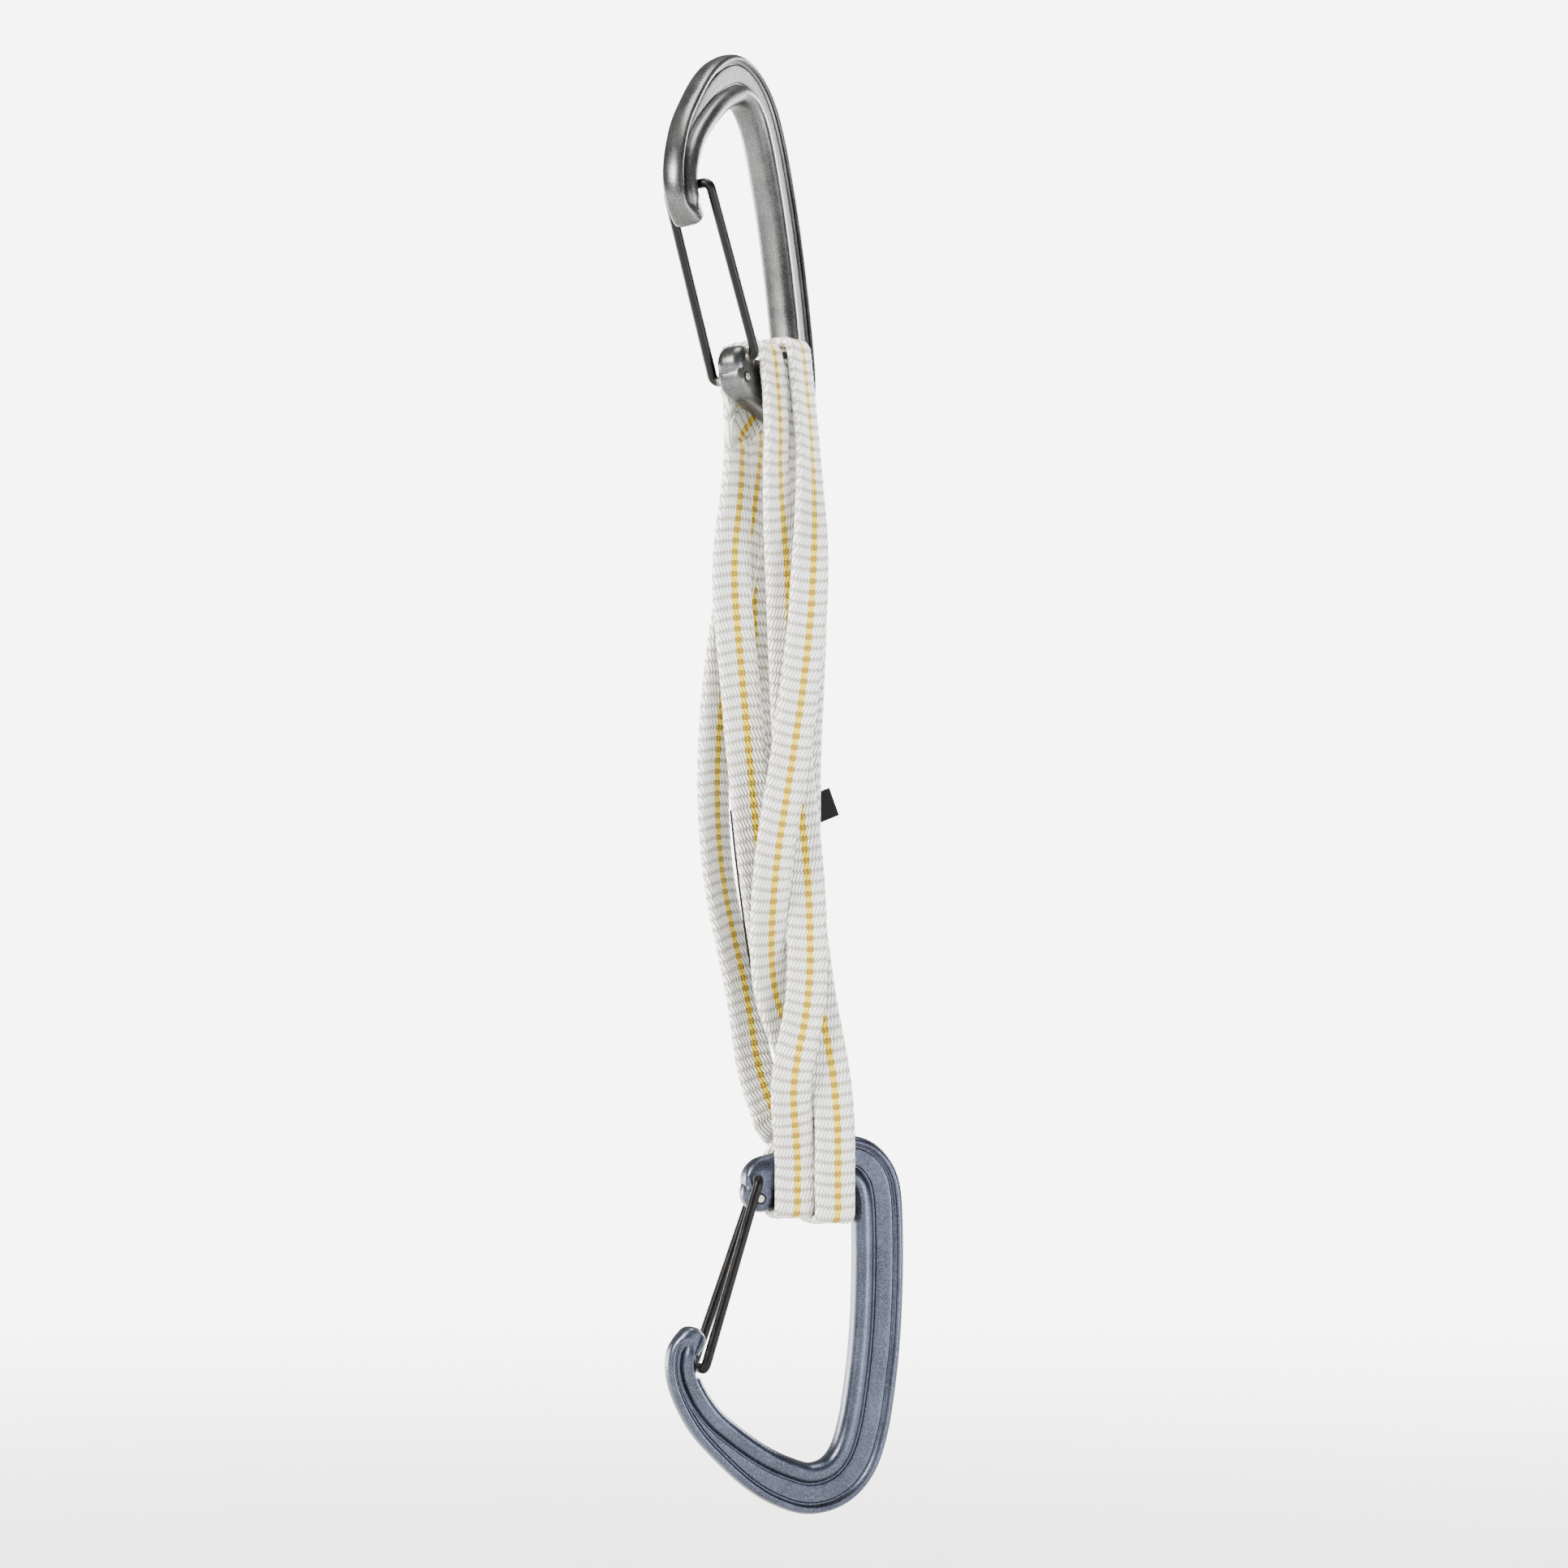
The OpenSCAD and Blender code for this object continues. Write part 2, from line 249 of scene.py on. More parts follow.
class QuickdrawSling(bpy.types.PropertyGroup):
    width: bpy.props.FloatProperty(
        name="Webbing width", description="Width of the webbing",
        default=0.0094, min=0.008, max=0.01, precision=5, unit="LENGTH",
    )
    thickness: bpy.props.FloatProperty(
        name="Webbing thickness", description="Thickness of one layer of webbing",
        default=0.002, min=0.0012, max=0.0024, precision=5, unit="LENGTH",
    )
    pitch: bpy.props.FloatProperty(
        name="Rib pitch", description="Distance from one cross rib to the next",
        default=0.0026, min=0.0015, max=0.004, precision=5, unit="LENGTH",
    )
    relief: bpy.props.FloatProperty(
        name="Rib height", description="How far a rib stands over its valley",
        default=0.00038, min=0.0, max=0.0005, precision=5, unit="LENGTH",
    )
    bow: bpy.props.FloatProperty(
        name="Bow of a rib", description="How far a rib's ends lag behind its middle",
        default=0.0005, min=0.0, max=0.001, precision=5, unit="LENGTH",
    )
    knobs: bpy.props.FloatProperty(
        name="Selvedge knobs", description="Height of the knobs along both edges",
        default=0.00022, min=0.0, max=0.0004, precision=5, unit="LENGTH",
    )
    step: bpy.props.FloatProperty(
        name="Ring spacing", description="Distance between the rings of points along the webbing",
        default=0.00026, min=0.0002, max=0.003, precision=5, unit="LENGTH",
    )
    yarn: bpy.props.FloatVectorProperty(
        name="Yarn", description="Undyed yarn at its brightest",
        default=linear("#fffefb"), min=0, max=1, size=4, subtype="COLOR",
    )
    yarn_soft: bpy.props.FloatVectorProperty(
        name="Yarn, softer", description="Undyed yarn where it has yellowed a little",
        default=linear("#faf8f2"), min=0, max=1, size=4, subtype="COLOR",
    )
    # Painted shade: the colour that darkens the valleys between the ribs
    valley: bpy.props.FloatVectorProperty(
        name="Valleys", description="Shade between two ribs",
        default=linear("#a3a294"), min=0, max=1, size=4, subtype="COLOR",
    )
    # Painted shade: the colour that darkens the gaps between the yarns
    gap: bpy.props.FloatVectorProperty(
        name="Gaps", description="Shade between two yarns",
        default=linear("#8f8e80"), min=0, max=1, size=4, subtype="COLOR",
    )
    fuzz: bpy.props.FloatVectorProperty(
        name="Fuzz", description="Shade of the loose fibres",
        default=linear("#a9a896"), min=0, max=1, size=4, subtype="COLOR",
    )
    tracer: bpy.props.FloatVectorProperty(
        name="Tracer", description="Dashes of the tracer yarn",
        default=linear("#f2d200"), min=0, max=1, size=4, subtype="COLOR",
    )
    # Painted shade: a deeper yellow for the tracer where it dips between the ribs
    tracer_shade: bpy.props.FloatVectorProperty(
        name="Tracer, painted shade", description="Tracer yarn where it dips between the ribs",
        default=linear("#a88600"), min=0, max=1, size=4, subtype="COLOR",
    )
    seal_dark: bpy.props.FloatVectorProperty(
        name="Sealed end, dark", description="Darker tone of the melted end",
        default=linear("#d9d4c2"), min=0, max=1, size=4, subtype="COLOR",
    )
    seal_light: bpy.props.FloatVectorProperty(
        name="Sealed end, light", description="Lighter tone of the melted end",
        default=linear("#f6f3e8"), min=0, max=1, size=4, subtype="COLOR",
    )


class QuickdrawLabels(bpy.types.PropertyGroup):
    thickness: bpy.props.FloatProperty(
        name="Label thickness", description="Thickness of the label tape",
        default=0.0005, min=0.0002, max=0.0006, precision=5, unit="LENGTH",
    )
    thread: bpy.props.FloatProperty(
        name="Thread radius", description="Radius of the bar tacks' thread",
        default=0.00017, min=0.00008, max=0.0003, precision=5, unit="LENGTH",
    )
    cloth_dark: bpy.props.FloatVectorProperty(
        name="Label, dark", description="Darker tone of the label tape",
        default=linear("#020202"), min=0, max=1, size=4, subtype="COLOR",
    )
    cloth_light: bpy.props.FloatVectorProperty(
        name="Label, light", description="Lighter tone of the label tape",
        default=linear("#080808"), min=0, max=1, size=4, subtype="COLOR",
    )
    marks: bpy.props.FloatVectorProperty(
        name="Label marks", description="Rows of plain dashes on the long label",
        default=linear("#6f6f6c"), min=0, max=1, size=4, subtype="COLOR",
    )
    thread_dark: bpy.props.FloatVectorProperty(
        name="Thread, dark", description="Darker tone of the sewing thread",
        default=linear("#6f6f69"), min=0, max=1, size=4, subtype="COLOR",
    )
    thread_light: bpy.props.FloatVectorProperty(
        name="Thread, light", description="Lighter tone of the sewing thread",
        default=linear("#a9a9a2"), min=0, max=1, size=4, subtype="COLOR",
    )


class QuickdrawStudio(bpy.types.PropertyGroup):
    backdrop: bpy.props.FloatVectorProperty(
        name="Backdrop", description="Colour of the backdrop and the room",
        default=linear("#f2f2f1"), min=0, max=1, size=4, subtype="COLOR",
    )
    paper_dark: bpy.props.FloatVectorProperty(
        name="Paper, dark", description="Darker tone of the floor's paper",
        default=linear("#e6e6e4"), min=0, max=1, size=4, subtype="COLOR",
    )
    paper_light: bpy.props.FloatVectorProperty(
        name="Paper, light", description="Lighter tone of the floor's paper",
        default=linear("#eeeeec"), min=0, max=1, size=4, subtype="COLOR",
    )


def in_millimetres(group):
    """A property group's lengths as plain numbers in mm."""
    values = {key: getattr(group, key) for key in type(group).__annotations__}
    sizes = {key: round(x / MM, 4) for key, x in values.items() if isinstance(x, float)}
    return SimpleNamespace(**sizes)


# ---- Small geometry ----
def turned(yaw, lean=0.0, roll=0.0, flip=0.0):
    """The turn of a carabiner's flat frame, from its angles in degrees."""
    parts = (("Y", lean), ("Z", yaw), ("Y", roll), ("X", flip), ("X", 90))
    made = Matrix.Identity(3)
    for axis, angle in parts:
        made = made @ Matrix.Rotation(math.radians(angle), 3, axis)
    return made


def placed():
    """Turn and centre (mm) of each carabiner in the row frame."""
    upper = turned(61.5, -9.7, 8.4, 180)
    at = -(upper @ ANCHOR)
    return {"upper": (upper, at), "lower": (turned(15), at + HANG)}


def to_row(side, p):
    """A flat frame point in mm as a row frame point in metres."""
    turn, at = placed()[side]
    return (at + turn @ Vector(p)) * MM


def smooth(x):
    """Eases x from 0 to 1."""
    x = min(1.0, max(0.0, x))
    return x * x * (3 - 2 * x)


def mix(a, b, t):
    """The value t of the way from a to b."""
    return a + (b - a) * t


def catmull(points, steps):
    """A smooth curve through points, with steps pieces from each to the next."""
    pts = [2 * points[0] - points[1], *points, 2 * points[-1] - points[-2]]
    out = []
    for i in range(1, len(pts) - 2):
        a, b, c, d = pts[i - 1 : i + 3]
        for j in range(steps):
            t = j / steps
            out.append(
                0.5 * (2 * b + (c - a) * t + (2 * a - 5 * b + 4 * c - d) * t * t
                + (3 * b - a - 3 * c + d) * t ** 3)
            )
    out.append(pts[-2].copy())
    return out


def even(points, step, size=3):
    """Points respaced evenly; the first size numbers of each are its place."""
    run = [0.0]
    for a, b in zip(points, points[1:]):
        run.append(run[-1] + (Vector(b[:size]) - Vector(a[:size])).length)
    count = max(2, round(run[-1] / step))
    out, k = [], 0
    for i in range(count + 1):
        s = run[-1] * i / count
        while k < len(run) - 2 and run[k + 1] < s:
            k += 1
        t = (s - run[k]) / max(1e-9, run[k + 1] - run[k])
        out.append(mix(points[k], points[k + 1], min(1.0, t)))
    return out, run[-1] / count


def loft(name, rings, across, along, caps=True, crease=None):
    """A skin over closed rings of points. across and along are the UV, in mm."""
    cols = len(rings[0])
    bm = bmesh.new()
    uv = bm.loops.layers.uv.new("UVMap")
    bmesh.ops.create_grid(bm, x_segments=cols, y_segments=len(rings) - 1, size=1)
    if len(bm.verts) != (cols + 1) * len(rings):
        raise RuntimeError(f"{name}: the grid has {len(bm.verts)} points")
    bm.verts.ensure_lookup_table()
    for i, ring in enumerate(rings):
        for j in range(cols + 1):
            bm.verts[i * (cols + 1) + j].co = ring[j % cols]
    for face in bm.faces:
        face.smooth = True
        for corner in face.loops:
            i, j = divmod(corner.vert.index, cols + 1)
            corner[uv].uv = (across[j], along[i])
    bmesh.ops.remove_doubles(bm, verts=bm.verts, dist=1e-7)
    if caps:
        edges = [e for e in bm.edges if e.is_boundary]
        bmesh.ops.holes_fill(bm, edges=edges, sides=0)
    bmesh.ops.recalc_face_normals(bm, faces=bm.faces)
    if crease is not None:
        for e in bm.edges:
            if len(e.link_faces) == 2 and e.calc_face_angle(0) > math.radians(crease):
                e.smooth = False
    return bm


def made(name, bm, *materials):
    """An object at the origin from a bmesh in row frame metres."""
    mesh = bpy.data.meshes.new(name)
    bm.to_mesh(mesh)
    bm.free()
    for m in materials:
        mesh.materials.append(m)
    o = bpy.data.objects.new(name, mesh)
    bpy.context.scene.collection.objects.link(o)
    return o


def joined(*parts):
    """One bmesh from several."""
    mesh = bpy.data.meshes.new("joined")
    out = bmesh.new()
    for bm in parts:
        bm.to_mesh(mesh)
        bm.free()
        out.from_mesh(mesh)
        mesh.clear_geometry()
    bpy.data.meshes.remove(mesh)
    return out


def tube(name, points, radius, around, start=0.0):
    """A round wire or thread of that radius (mm) along points (m)."""
    side = Vector((0.3, 0.2, 0.9))
    rings, along, run = [], [], start
    for i, p in enumerate(points):
        t = (points[min(i + 1, len(points) - 1)] - points[max(i - 1, 0)]).normalized()
        side = (side - side.dot(t) * t).normalized()
        other = t.cross(side)
        turn = [2 * math.pi * j / around for j in range(around)]
        rings.append([p + (side * math.cos(a) + other * math.sin(a)) * radius * MM for a in turn])
        run += (p - points[i - 1]).length / MM if i else 0
        along.append(run)
    across = [2 * math.pi * radius * j / around for j in range(around + 1)]
    return loft(name, rings, across, along, crease=60)


# ---- Materials ----
# Settings of a Map Range that eases in and out, and of a Mix of two colours
EASED = {"interpolation_type": "SMOOTHSTEP"}
TINTED = {"data_type": "RGBA", "out": 2}


def put(tree, kind, inputs=(), op=None, out=0, **settings):
    """Adds a node and returns an output. Inputs, by place or name, are constants or sockets."""
    n = tree.nodes.new("ShaderNode" + kind)
    if op:
        n.operation = op
    for key, value in settings.items():
        setattr(n, key, value)
    for key, value in inputs.items() if isinstance(inputs, dict) else enumerate(inputs):
        if isinstance(value, bpy.types.NodeSocket):
            tree.links.new(value, n.inputs[key])
        else:
            n.inputs[key].default_value = value
    return n.outputs[out] if n.outputs else None


def fresh(name):
    """A new material with no nodes, and the function that adds them to it."""
    m = bpy.data.materials.new(name)
    m.use_nodes = True
    m.node_tree.nodes.clear()
    return m, partial(put, m.node_tree)


def alloy(name, dark, light, grain, tints):
    """Forged aluminium, bead blasted and anodised. The blasting's grain breaks up the highlight,
    the anodised colour drifts a little along the bar, and use leaves short pale scuffs."""
    m, add = fresh(name)
    at = add("VectorMath", {0: add("TexCoord", out="Object"), "Scale": 1 / MM}, "SCALE")
    # Drift in patches of about 9 mm, and two sizes of blasted grain, 0.4 and 0.15 mm
    drift = add("TexNoise", {"Vector": at, "Scale": 0.11, "Detail": 3, "Roughness": 0.5})
    fine = add("TexNoise", {"Vector": at, "Scale": 2.6, "Detail": 3, "Roughness": 0.6})
    speck = add("TexNoise", {"Vector": at, "Scale": 6.5, "Detail": 1, "Roughness": 0.5})
    tone = add("MapRange", (drift, 0.3, 0.7), **EASED)
    colour = add("Mix", {0: tone, 6: dark, 7: light}, **TINTED)
    grains = add("MapRange", (fine, 0.4, 0.75, 0, grain), **EASED)
    colour = add("Mix", {0: grains, 6: colour, 7: tints.grain}, **TINTED)
    # Scuffs are noise drawn out into strokes that lean across the bar
    drawn = add("Mapping", {0: at, "Scale": (0.35, 0.9, 2.4), "Rotation": (0.4, 0.7, 0.2)})
    strokes = add("TexNoise", {"Vector": drawn, "Scale": 1.1, "Detail": 4, "Roughness": 0.65})
    scuffed = add("MapRange", (strokes, 0.66, 0.74, 0, 0.3), **EASED)
    colour = add("Mix", {0: scuffed, 6: colour, 7: tints.scuff}, **TINTED)
    # Fine ribs 0.9 mm apart, rolled into the outer edge of the basket from 80 to 130 mm along
    place = add("UVMap", uv_map="UVMap")
    round_bar = add("SeparateXYZ", (place,))
    along_bar = round_bar.node.outputs[1]
    edge = add("MapRange", (add("Math", (round_bar,), "ABSOLUTE"), 1.5, 2.0, 1, 0), **EASED)
    begin = add("MapRange", (along_bar, 78, 82), **EASED)
    end = add("MapRange", (along_bar, 128, 132, 1, 0), **EASED)
    wave = add("Math", (add("Math", (along_bar, 2 * math.pi / 0.9), "MULTIPLY"),), "SINE")
    reach = add("Math", (edge, add("Math", (begin, end), "MULTIPLY")), "MULTIPLY")
    ribs = add("Math", (wave, reach), "MULTIPLY")
    tooth = add("Math", (fine, 0.7, add("Math", (speck, 0.3), "MULTIPLY")), "MULTIPLY_ADD")
    height = add("Math", (tooth, 0.06, add("Math", (ribs, 0.08), "MULTIPLY")), "MULTIPLY_ADD")
    surface = add("BsdfPrincipled", {
        "Base Color": colour,
        "Metallic": 0.92,
        "Roughness": add("MapRange", (drift, 0.3, 0.7, 0.29, 0.36), **EASED),
        "Normal": add("Bump", {"Height": height, "Strength": 0.55, "Distance": MM}),
    })
    add("OutputMaterial", {"Surface": surface})
    return m


def blackened_wire(tints):
    """Hard-drawn steel wire with a black-brown coating. The coating is satin and slightly uneven,
    and shows the steel where the wire rubs as it turns."""
    m, add = fresh("Blackened wire")
    at = add("VectorMath", {0: add("TexCoord", out="Object"), "Scale": 1 / MM}, "SCALE")
    drift = add("TexNoise", {"Vector": at, "Scale": 0.3, "Detail": 2, "Roughness": 0.5})
    fine = add("TexNoise", {"Vector": at, "Scale": 4.0, "Detail": 2, "Roughness": 0.5})
    tone = add("MapRange", (drift, 0.3, 0.7), **EASED)
    colour = add("Mix", {0: tone, 6: tints.coat_dark, 7: tints.coat_light}, **TINTED)
    # The wire comes out of the frame about 7 mm from its end, and rubs there
    place = add("UVMap", uv_map="UVMap")
    along_wire = add("SeparateXYZ", (place,), out=1)
    off_face = add("Math", (add("Math", (along_wire, 7.2), "SUBTRACT"),), "ABSOLUTE")
    uneven = add("Math", (drift, 2.0, off_face), "MULTIPLY_ADD")
    rubbed = add("MapRange", (uneven, 1.4, 2.2, 0.8, 0), **EASED)
    colour = add("Mix", {0: rubbed, 6: colour, 7: tints.rubbed}, **TINTED)
    surface = add("BsdfPrincipled", {
        "Base Color": colour,
        "Metallic": 0.75,
        "Roughness": add("MapRange", (drift, 0.3, 0.7, 0.3, 0.4), **EASED),
        "Normal": add("Bump", {"Height": fine, "Strength": 0.08, "Distance": 0.03 * MM}),
    })
    add("OutputMaterial", {"Surface": surface})
    return m


def bare_steel(tints):
    """The wire's cut ends, peened over in their bores: bright steel with a fine grain."""
    m, add = fresh("Bare steel")
    at = add("VectorMath", {0: add("TexCoord", out="Object"), "Scale": 1 / MM}, "SCALE")
    fine = add("TexNoise", {"Vector": at, "Scale": 5.0, "Detail": 2, "Roughness": 0.5})
    tone = add("MapRange", (fine, 0.3, 0.7), **EASED)
    surface = add("BsdfPrincipled", {
        "Base Color": add("Mix", {0: tone, 6: tints.steel_dark, 7: tints.steel_light}, **TINTED),
        "Metallic": 1.0,
        "Roughness": 0.36,
        "Normal": add("Bump", {"Height": fine, "Strength": 0.3, "Distance": 0.04 * MM}),
    })
    add("OutputMaterial", {"Surface": surface})
    return m


def webbing(pitch, bow, width, tints):
    """Woven polyethylene and nylon sling webbing. Cross ribs of bright leaning yarns, with painted shade
    in the valleys between the ribs and in the gaps between the yarns, and a dashed yellow tracer near the
    middle, painted a deeper yellow as shade between the ribs."""
    m, add = fresh("Sling webbing")
    u = add("SeparateXYZ", (add("UVMap", uv_map="UVMap"),))
    v = u.node.outputs[1]
    at = add("VectorMath", {0: add("TexCoord", out="Object"), "Scale": 1 / MM}, "SCALE")
    fuzz = add("TexNoise", {"Vector": at, "Scale": 3.0, "Detail": 3, "Roughness": 0.6})
    cloud = add("TexNoise", {"Vector": at, "Scale": 0.12, "Detail": 2, "Roughness": 0.5})
    # Distance along in ribs, bowed towards the edges as the ribs' shape is
    squared = add("Math", (u, u), "MULTIPLY")
    bowed = add("Math", (squared, bow / (width / 2) ** 2, v), "MULTIPLY_ADD")
    rows = add("Math", (bowed, pitch), "DIVIDE")
    phase = add("Math", (rows,), "FRACT")
    off_rib = add("Math", (add("Math", (phase, 0.5), "SUBTRACT"),), "ABSOLUTE")
    valley = add("MapRange", (off_rib, 0.16, 0.5), **EASED)
    # Floats of yarn lean across each rib, every other rib half a yarn on. They are really
    # 0.6 mm apart and are drawn at 0.85 mm, so that they show
    shifted = add("Math", (add("Math", (rows,), "FLOOR"), 0.5), "MULTIPLY")
    shifted = add("Math", (fuzz, 0.35, shifted), "MULTIPLY_ADD")
    leaning = add("Math", (u, 1 / 0.85, add("Math", (v, 0.42), "MULTIPLY")), "MULTIPLY_ADD")
    slant = add("Math", (leaning, shifted), "ADD")
    wave = add("Math", (add("Math", (slant, math.pi), "MULTIPLY"),), "SINE")
    yarn = add("Math", (wave,), "ABSOLUTE")
    gap = add("MapRange", (yarn, 0.0, 0.7, 1, 0), **EASED)
    colour = add("Mix", {0: cloud, 6: tints.yarn_soft, 7: tints.yarn}, **TINTED)
    # Painted shade: the valleys between the ribs are darkened
    shade = add("Math", (valley, 0.85), "MULTIPLY")
    colour = add("Mix", {0: shade, 6: colour, 7: tints.valley}, **TINTED)
    # Painted shade: the gaps between the yarns are darkened
    shade = add("Math", (gap, 0.62), "MULTIPLY")
    colour = add("Mix", {0: shade, 6: colour, 7: tints.gap}, **TINTED)
    # Tracer near the middle: a pale dash over most of each rib, painted a deeper yellow as shade where it
    # dips between the ribs
    off = add("Math", (add("Math", (u, 0.4), "SUBTRACT"),), "ABSOLUTE")
    wide = add("Math", (valley, 0.16, 0.86), "MULTIPLY_ADD")
    ragged = add("Math", (fuzz, 0.2, off), "MULTIPLY_ADD")
    outside = add("Math", (ragged, wide), "SUBTRACT")
    stripe = add("MapRange", (outside, -0.06, 0.06, 1, 0), **EASED)
    # Painted shade on the tracer in the valleys between the ribs
    tracer_shade_mask = add("MapRange", (off_rib, 0.2, 0.29), **EASED)
    dash = add("Mix", {0: tracer_shade_mask, 6: tints.tracer, 7: tints.tracer_shade}, **TINTED)
    colour = add("Mix", {0: stripe, 6: colour, 7: dash}, **TINTED)
    loose = add("MapRange", (fuzz, 0.5, 0.85, 0, 0.12), **EASED)
    colour = add("Mix", {0: loose, 6: colour, 7: tints.fuzz}, **TINTED)
    height = add("Math", (yarn, 0.5, add("Math", (fuzz, 0.18), "MULTIPLY")), "MULTIPLY_ADD")
    height = add("Math", (height, add("Math", (valley, 0.1), "MULTIPLY")), "SUBTRACT")
    surface = add("BsdfPrincipled", {
        "Base Color": colour,
        "Roughness": 0.6,
        "Specular IOR Level": 0.25,
        "Sheen Weight": 0.04,
        "Normal": add("Bump", {"Height": height, "Strength": 1.0, "Distance": MM}),
    })
    add("OutputMaterial", {"Surface": surface})
    return m


def thread(tints):
    """Bonded polyester sewing thread, grey, twisted and slightly shiny."""
    m, add = fresh("Sewing thread")
    u = add("SeparateXYZ", (add("UVMap", uv_map="UVMap"),))
    v = u.node.outputs[1]
    # Turns of the twist, 0.45 mm apart along the thread
    twist = add("Math", (u, 9.0, add("Math", (v, 14.0), "MULTIPLY")), "MULTIPLY_ADD")
    ply = add("Math", (twist,), "SINE")
    tone = add("MapRange", (ply, -0.6, 0.6), **EASED)
    surface = add("BsdfPrincipled", {
        "Base Color": add("Mix", {0: tone, 6: tints.thread_dark, 7: tints.thread_light}, **TINTED),
        "Roughness": 0.5,
        "Normal": add("Bump", {"Height": ply, "Strength": 0.4, "Distance": 0.04 * MM}),
    })
    add("OutputMaterial", {"Surface": surface})
    return m


def sealed_end(tints):
    """The melted end of the webbing: hard, smooth, off-white and a little translucent in look."""
    m, add = fresh("Sealed end")
    at = add("VectorMath", {0: add("TexCoord", out="Object"), "Scale": 1 / MM}, "SCALE")
    fine = add("TexNoise", {"Vector": at, "Scale": 1.8, "Detail": 3, "Roughness": 0.5})
    tone = add("MapRange", (fine, 0.3, 0.7), **EASED)
    surface = add("BsdfPrincipled", {
        "Base Color": add("Mix", {0: tone, 6: tints.seal_dark, 7: tints.seal_light}, **TINTED),
        "Roughness": 0.38,
        "Subsurface Weight": 0.1,
        "Subsurface Scale": MM,
        "Normal": add("Bump", {"Height": fine, "Strength": 0.6, "Distance": 0.15 * MM}),
    })
    add("OutputMaterial", {"Surface": surface})
    return m


def label_cloth(name, marks, tints):
    """Woven black label tape. Its fine satin weave catches a little light, and where marks is set
    it carries rows of plain pale dashes in place of print."""
    m, add = fresh(name)
    u = add("SeparateXYZ", (add("UVMap", uv_map="UVMap"),))
    v = u.node.outputs[1]
    # Yarns 0.35 mm apart across and 0.28 mm along
    weave_u = add("Math", (add("Math", (u, 2 * math.pi / 0.35), "MULTIPLY"),), "SINE")
    weave_v = add("Math", (add("Math", (v, 2 * math.pi / 0.28), "MULTIPLY"),), "SINE")
    weave = add("Math", (weave_u, weave_v), "MULTIPLY")
    tone = add("MapRange", (weave, -0.8, 0.8), **EASED)
    colour = add("Mix", {0: tone, 6: tints.cloth_dark, 7: tints.cloth_light}, **TINTED)
    if marks:
        # Rows 2 mm apart, of dashes 5.3 mm apart
        row = add("Math", (add("Math", (u, 2 * math.pi / 2.0), "MULTIPLY"),), "SINE")
        dash = add("Math", (add("Math", (v, 2 * math.pi / 5.3), "MULTIPLY"),), "SINE")
        off_middle = add("Math", (u,), "ABSOLUTE")
        inside = add("MapRange", (off_middle, 3.0, 3.2, 1, 0), **EASED)
        row = add("MapRange", (row, 0.55, 0.7), **EASED)
        dash = add("MapRange", (dash, -0.7, -0.5), **EASED)
        mark = add("Math", (add("Math", (row, dash), "MULTIPLY"), inside), "MULTIPLY")
        colour = add("Mix", {0: mark, 6: colour, 7: tints.marks}, **TINTED)
    surface = add("BsdfPrincipled", {
        "Base Color": colour,
        "Roughness": 0.8,
        "Specular IOR Level": 0.2,
        "Normal": add("Bump", {"Height": weave, "Strength": 0.5, "Distance": 0.05 * MM}),
    })
    add("OutputMaterial", {"Surface": surface})
    return m


def studio_floor(tints):
    """Pale matt paper. It fades into the background's tone with distance, so no horizon shows."""
    m, add = fresh("Studio paper")
    at = add("TexCoord", out="Object")
    distance = add("VectorMath", (at,), "LENGTH", out="Value")
    far = add("MapRange", (distance, 0.2, 1.4), **EASED)
    grain = add("TexNoise", {"Vector": at, "Scale": 60, "Detail": 3, "Roughness": 0.5})
    paper = add("BsdfPrincipled", {
        "Base Color": add("Mix", {0: grain, 6: tints.paper_dark, 7: tints.paper_light}, **TINTED),
        "Roughness": 0.9,
    })
    glow = add("Emission", {"Color": tints.backdrop, "Strength": BACKDROP})
    add("OutputMaterial", {"Surface": add("MixShader", (far, paper, glow))})
    return m


# ---- Carabiner frame ----
def half_profile(p, half, fill, flat):
    """One face of the bar's section, from the outer edge to the inner: (across, out) in mm."""
    # Where the bar is narrower than its rim, grooves and flange need, they all narrow with it
    k = min(1.0, 2 * half / 8.4)
    floor = p.web - p.groove
    # The rim, its edge rounded and its outer side crowned
    turn = 0.8
    shoulder = p.rim - turn
    pts = [(half, 0.0), (half, 0.9), (half, shoulder)]
    for a in (30, 60, 90, 120, 150):
        a = math.radians(a)
        pts.append((half - turn * (1 - math.cos(a)) * k, shoulder + turn * math.sin(a)))
    pts = [(d - p.crown * (n / p.rim) ** 2, n) for d, n in pts]
    # A groove on each side of the web, and the flange's slope and round
    pts += [(half - 1.75 * k, shoulder), (half - 2.05 * k, p.web - 0.1)]
    pts += [(half - 2.3 * k, floor), (half - 2.65 * k, floor), (half - 2.95 * k, p.web - 0.04)]
    pts += [(half - 3.2 * k, p.web)]
    inner = [(5.7, p.web), (5.4, p.web - 0.04), (5.15, floor), (4.85, floor), (4.65, p.web)]
    pts += [(mix(half - 3.2 * k, -half + 5.7 * k, t), p.web) for t in (0.25, 0.5, 0.75)]
    pts += [(-half + d * k, n) for d, n in inner]
    for a in (14, 30, 45, 60, 75):
        a = math.radians(a)
        pts.append((-half + (2.1 + 2.5 * math.cos(a)) * k, mix(p.web, p.flange, math.sin(a))))
    for a in (90, 105, 120, 135, 148, 162, 173, 180):
        a = math.radians(a)
        pts.append((-half + (2.1 + 2.1 * math.cos(a)) * k, p.flange * max(0.0, math.sin(a)) ** 0.75))
    # Near the hinge and the nose the section fills up to a solid rounded one
    out = []
    for d, n in pts:
        share = max(0.0, 1 - abs(d / half) ** flat) ** (1 / flat)
        out.append((d, mix(n, p.boss * share, fill)))
    return out


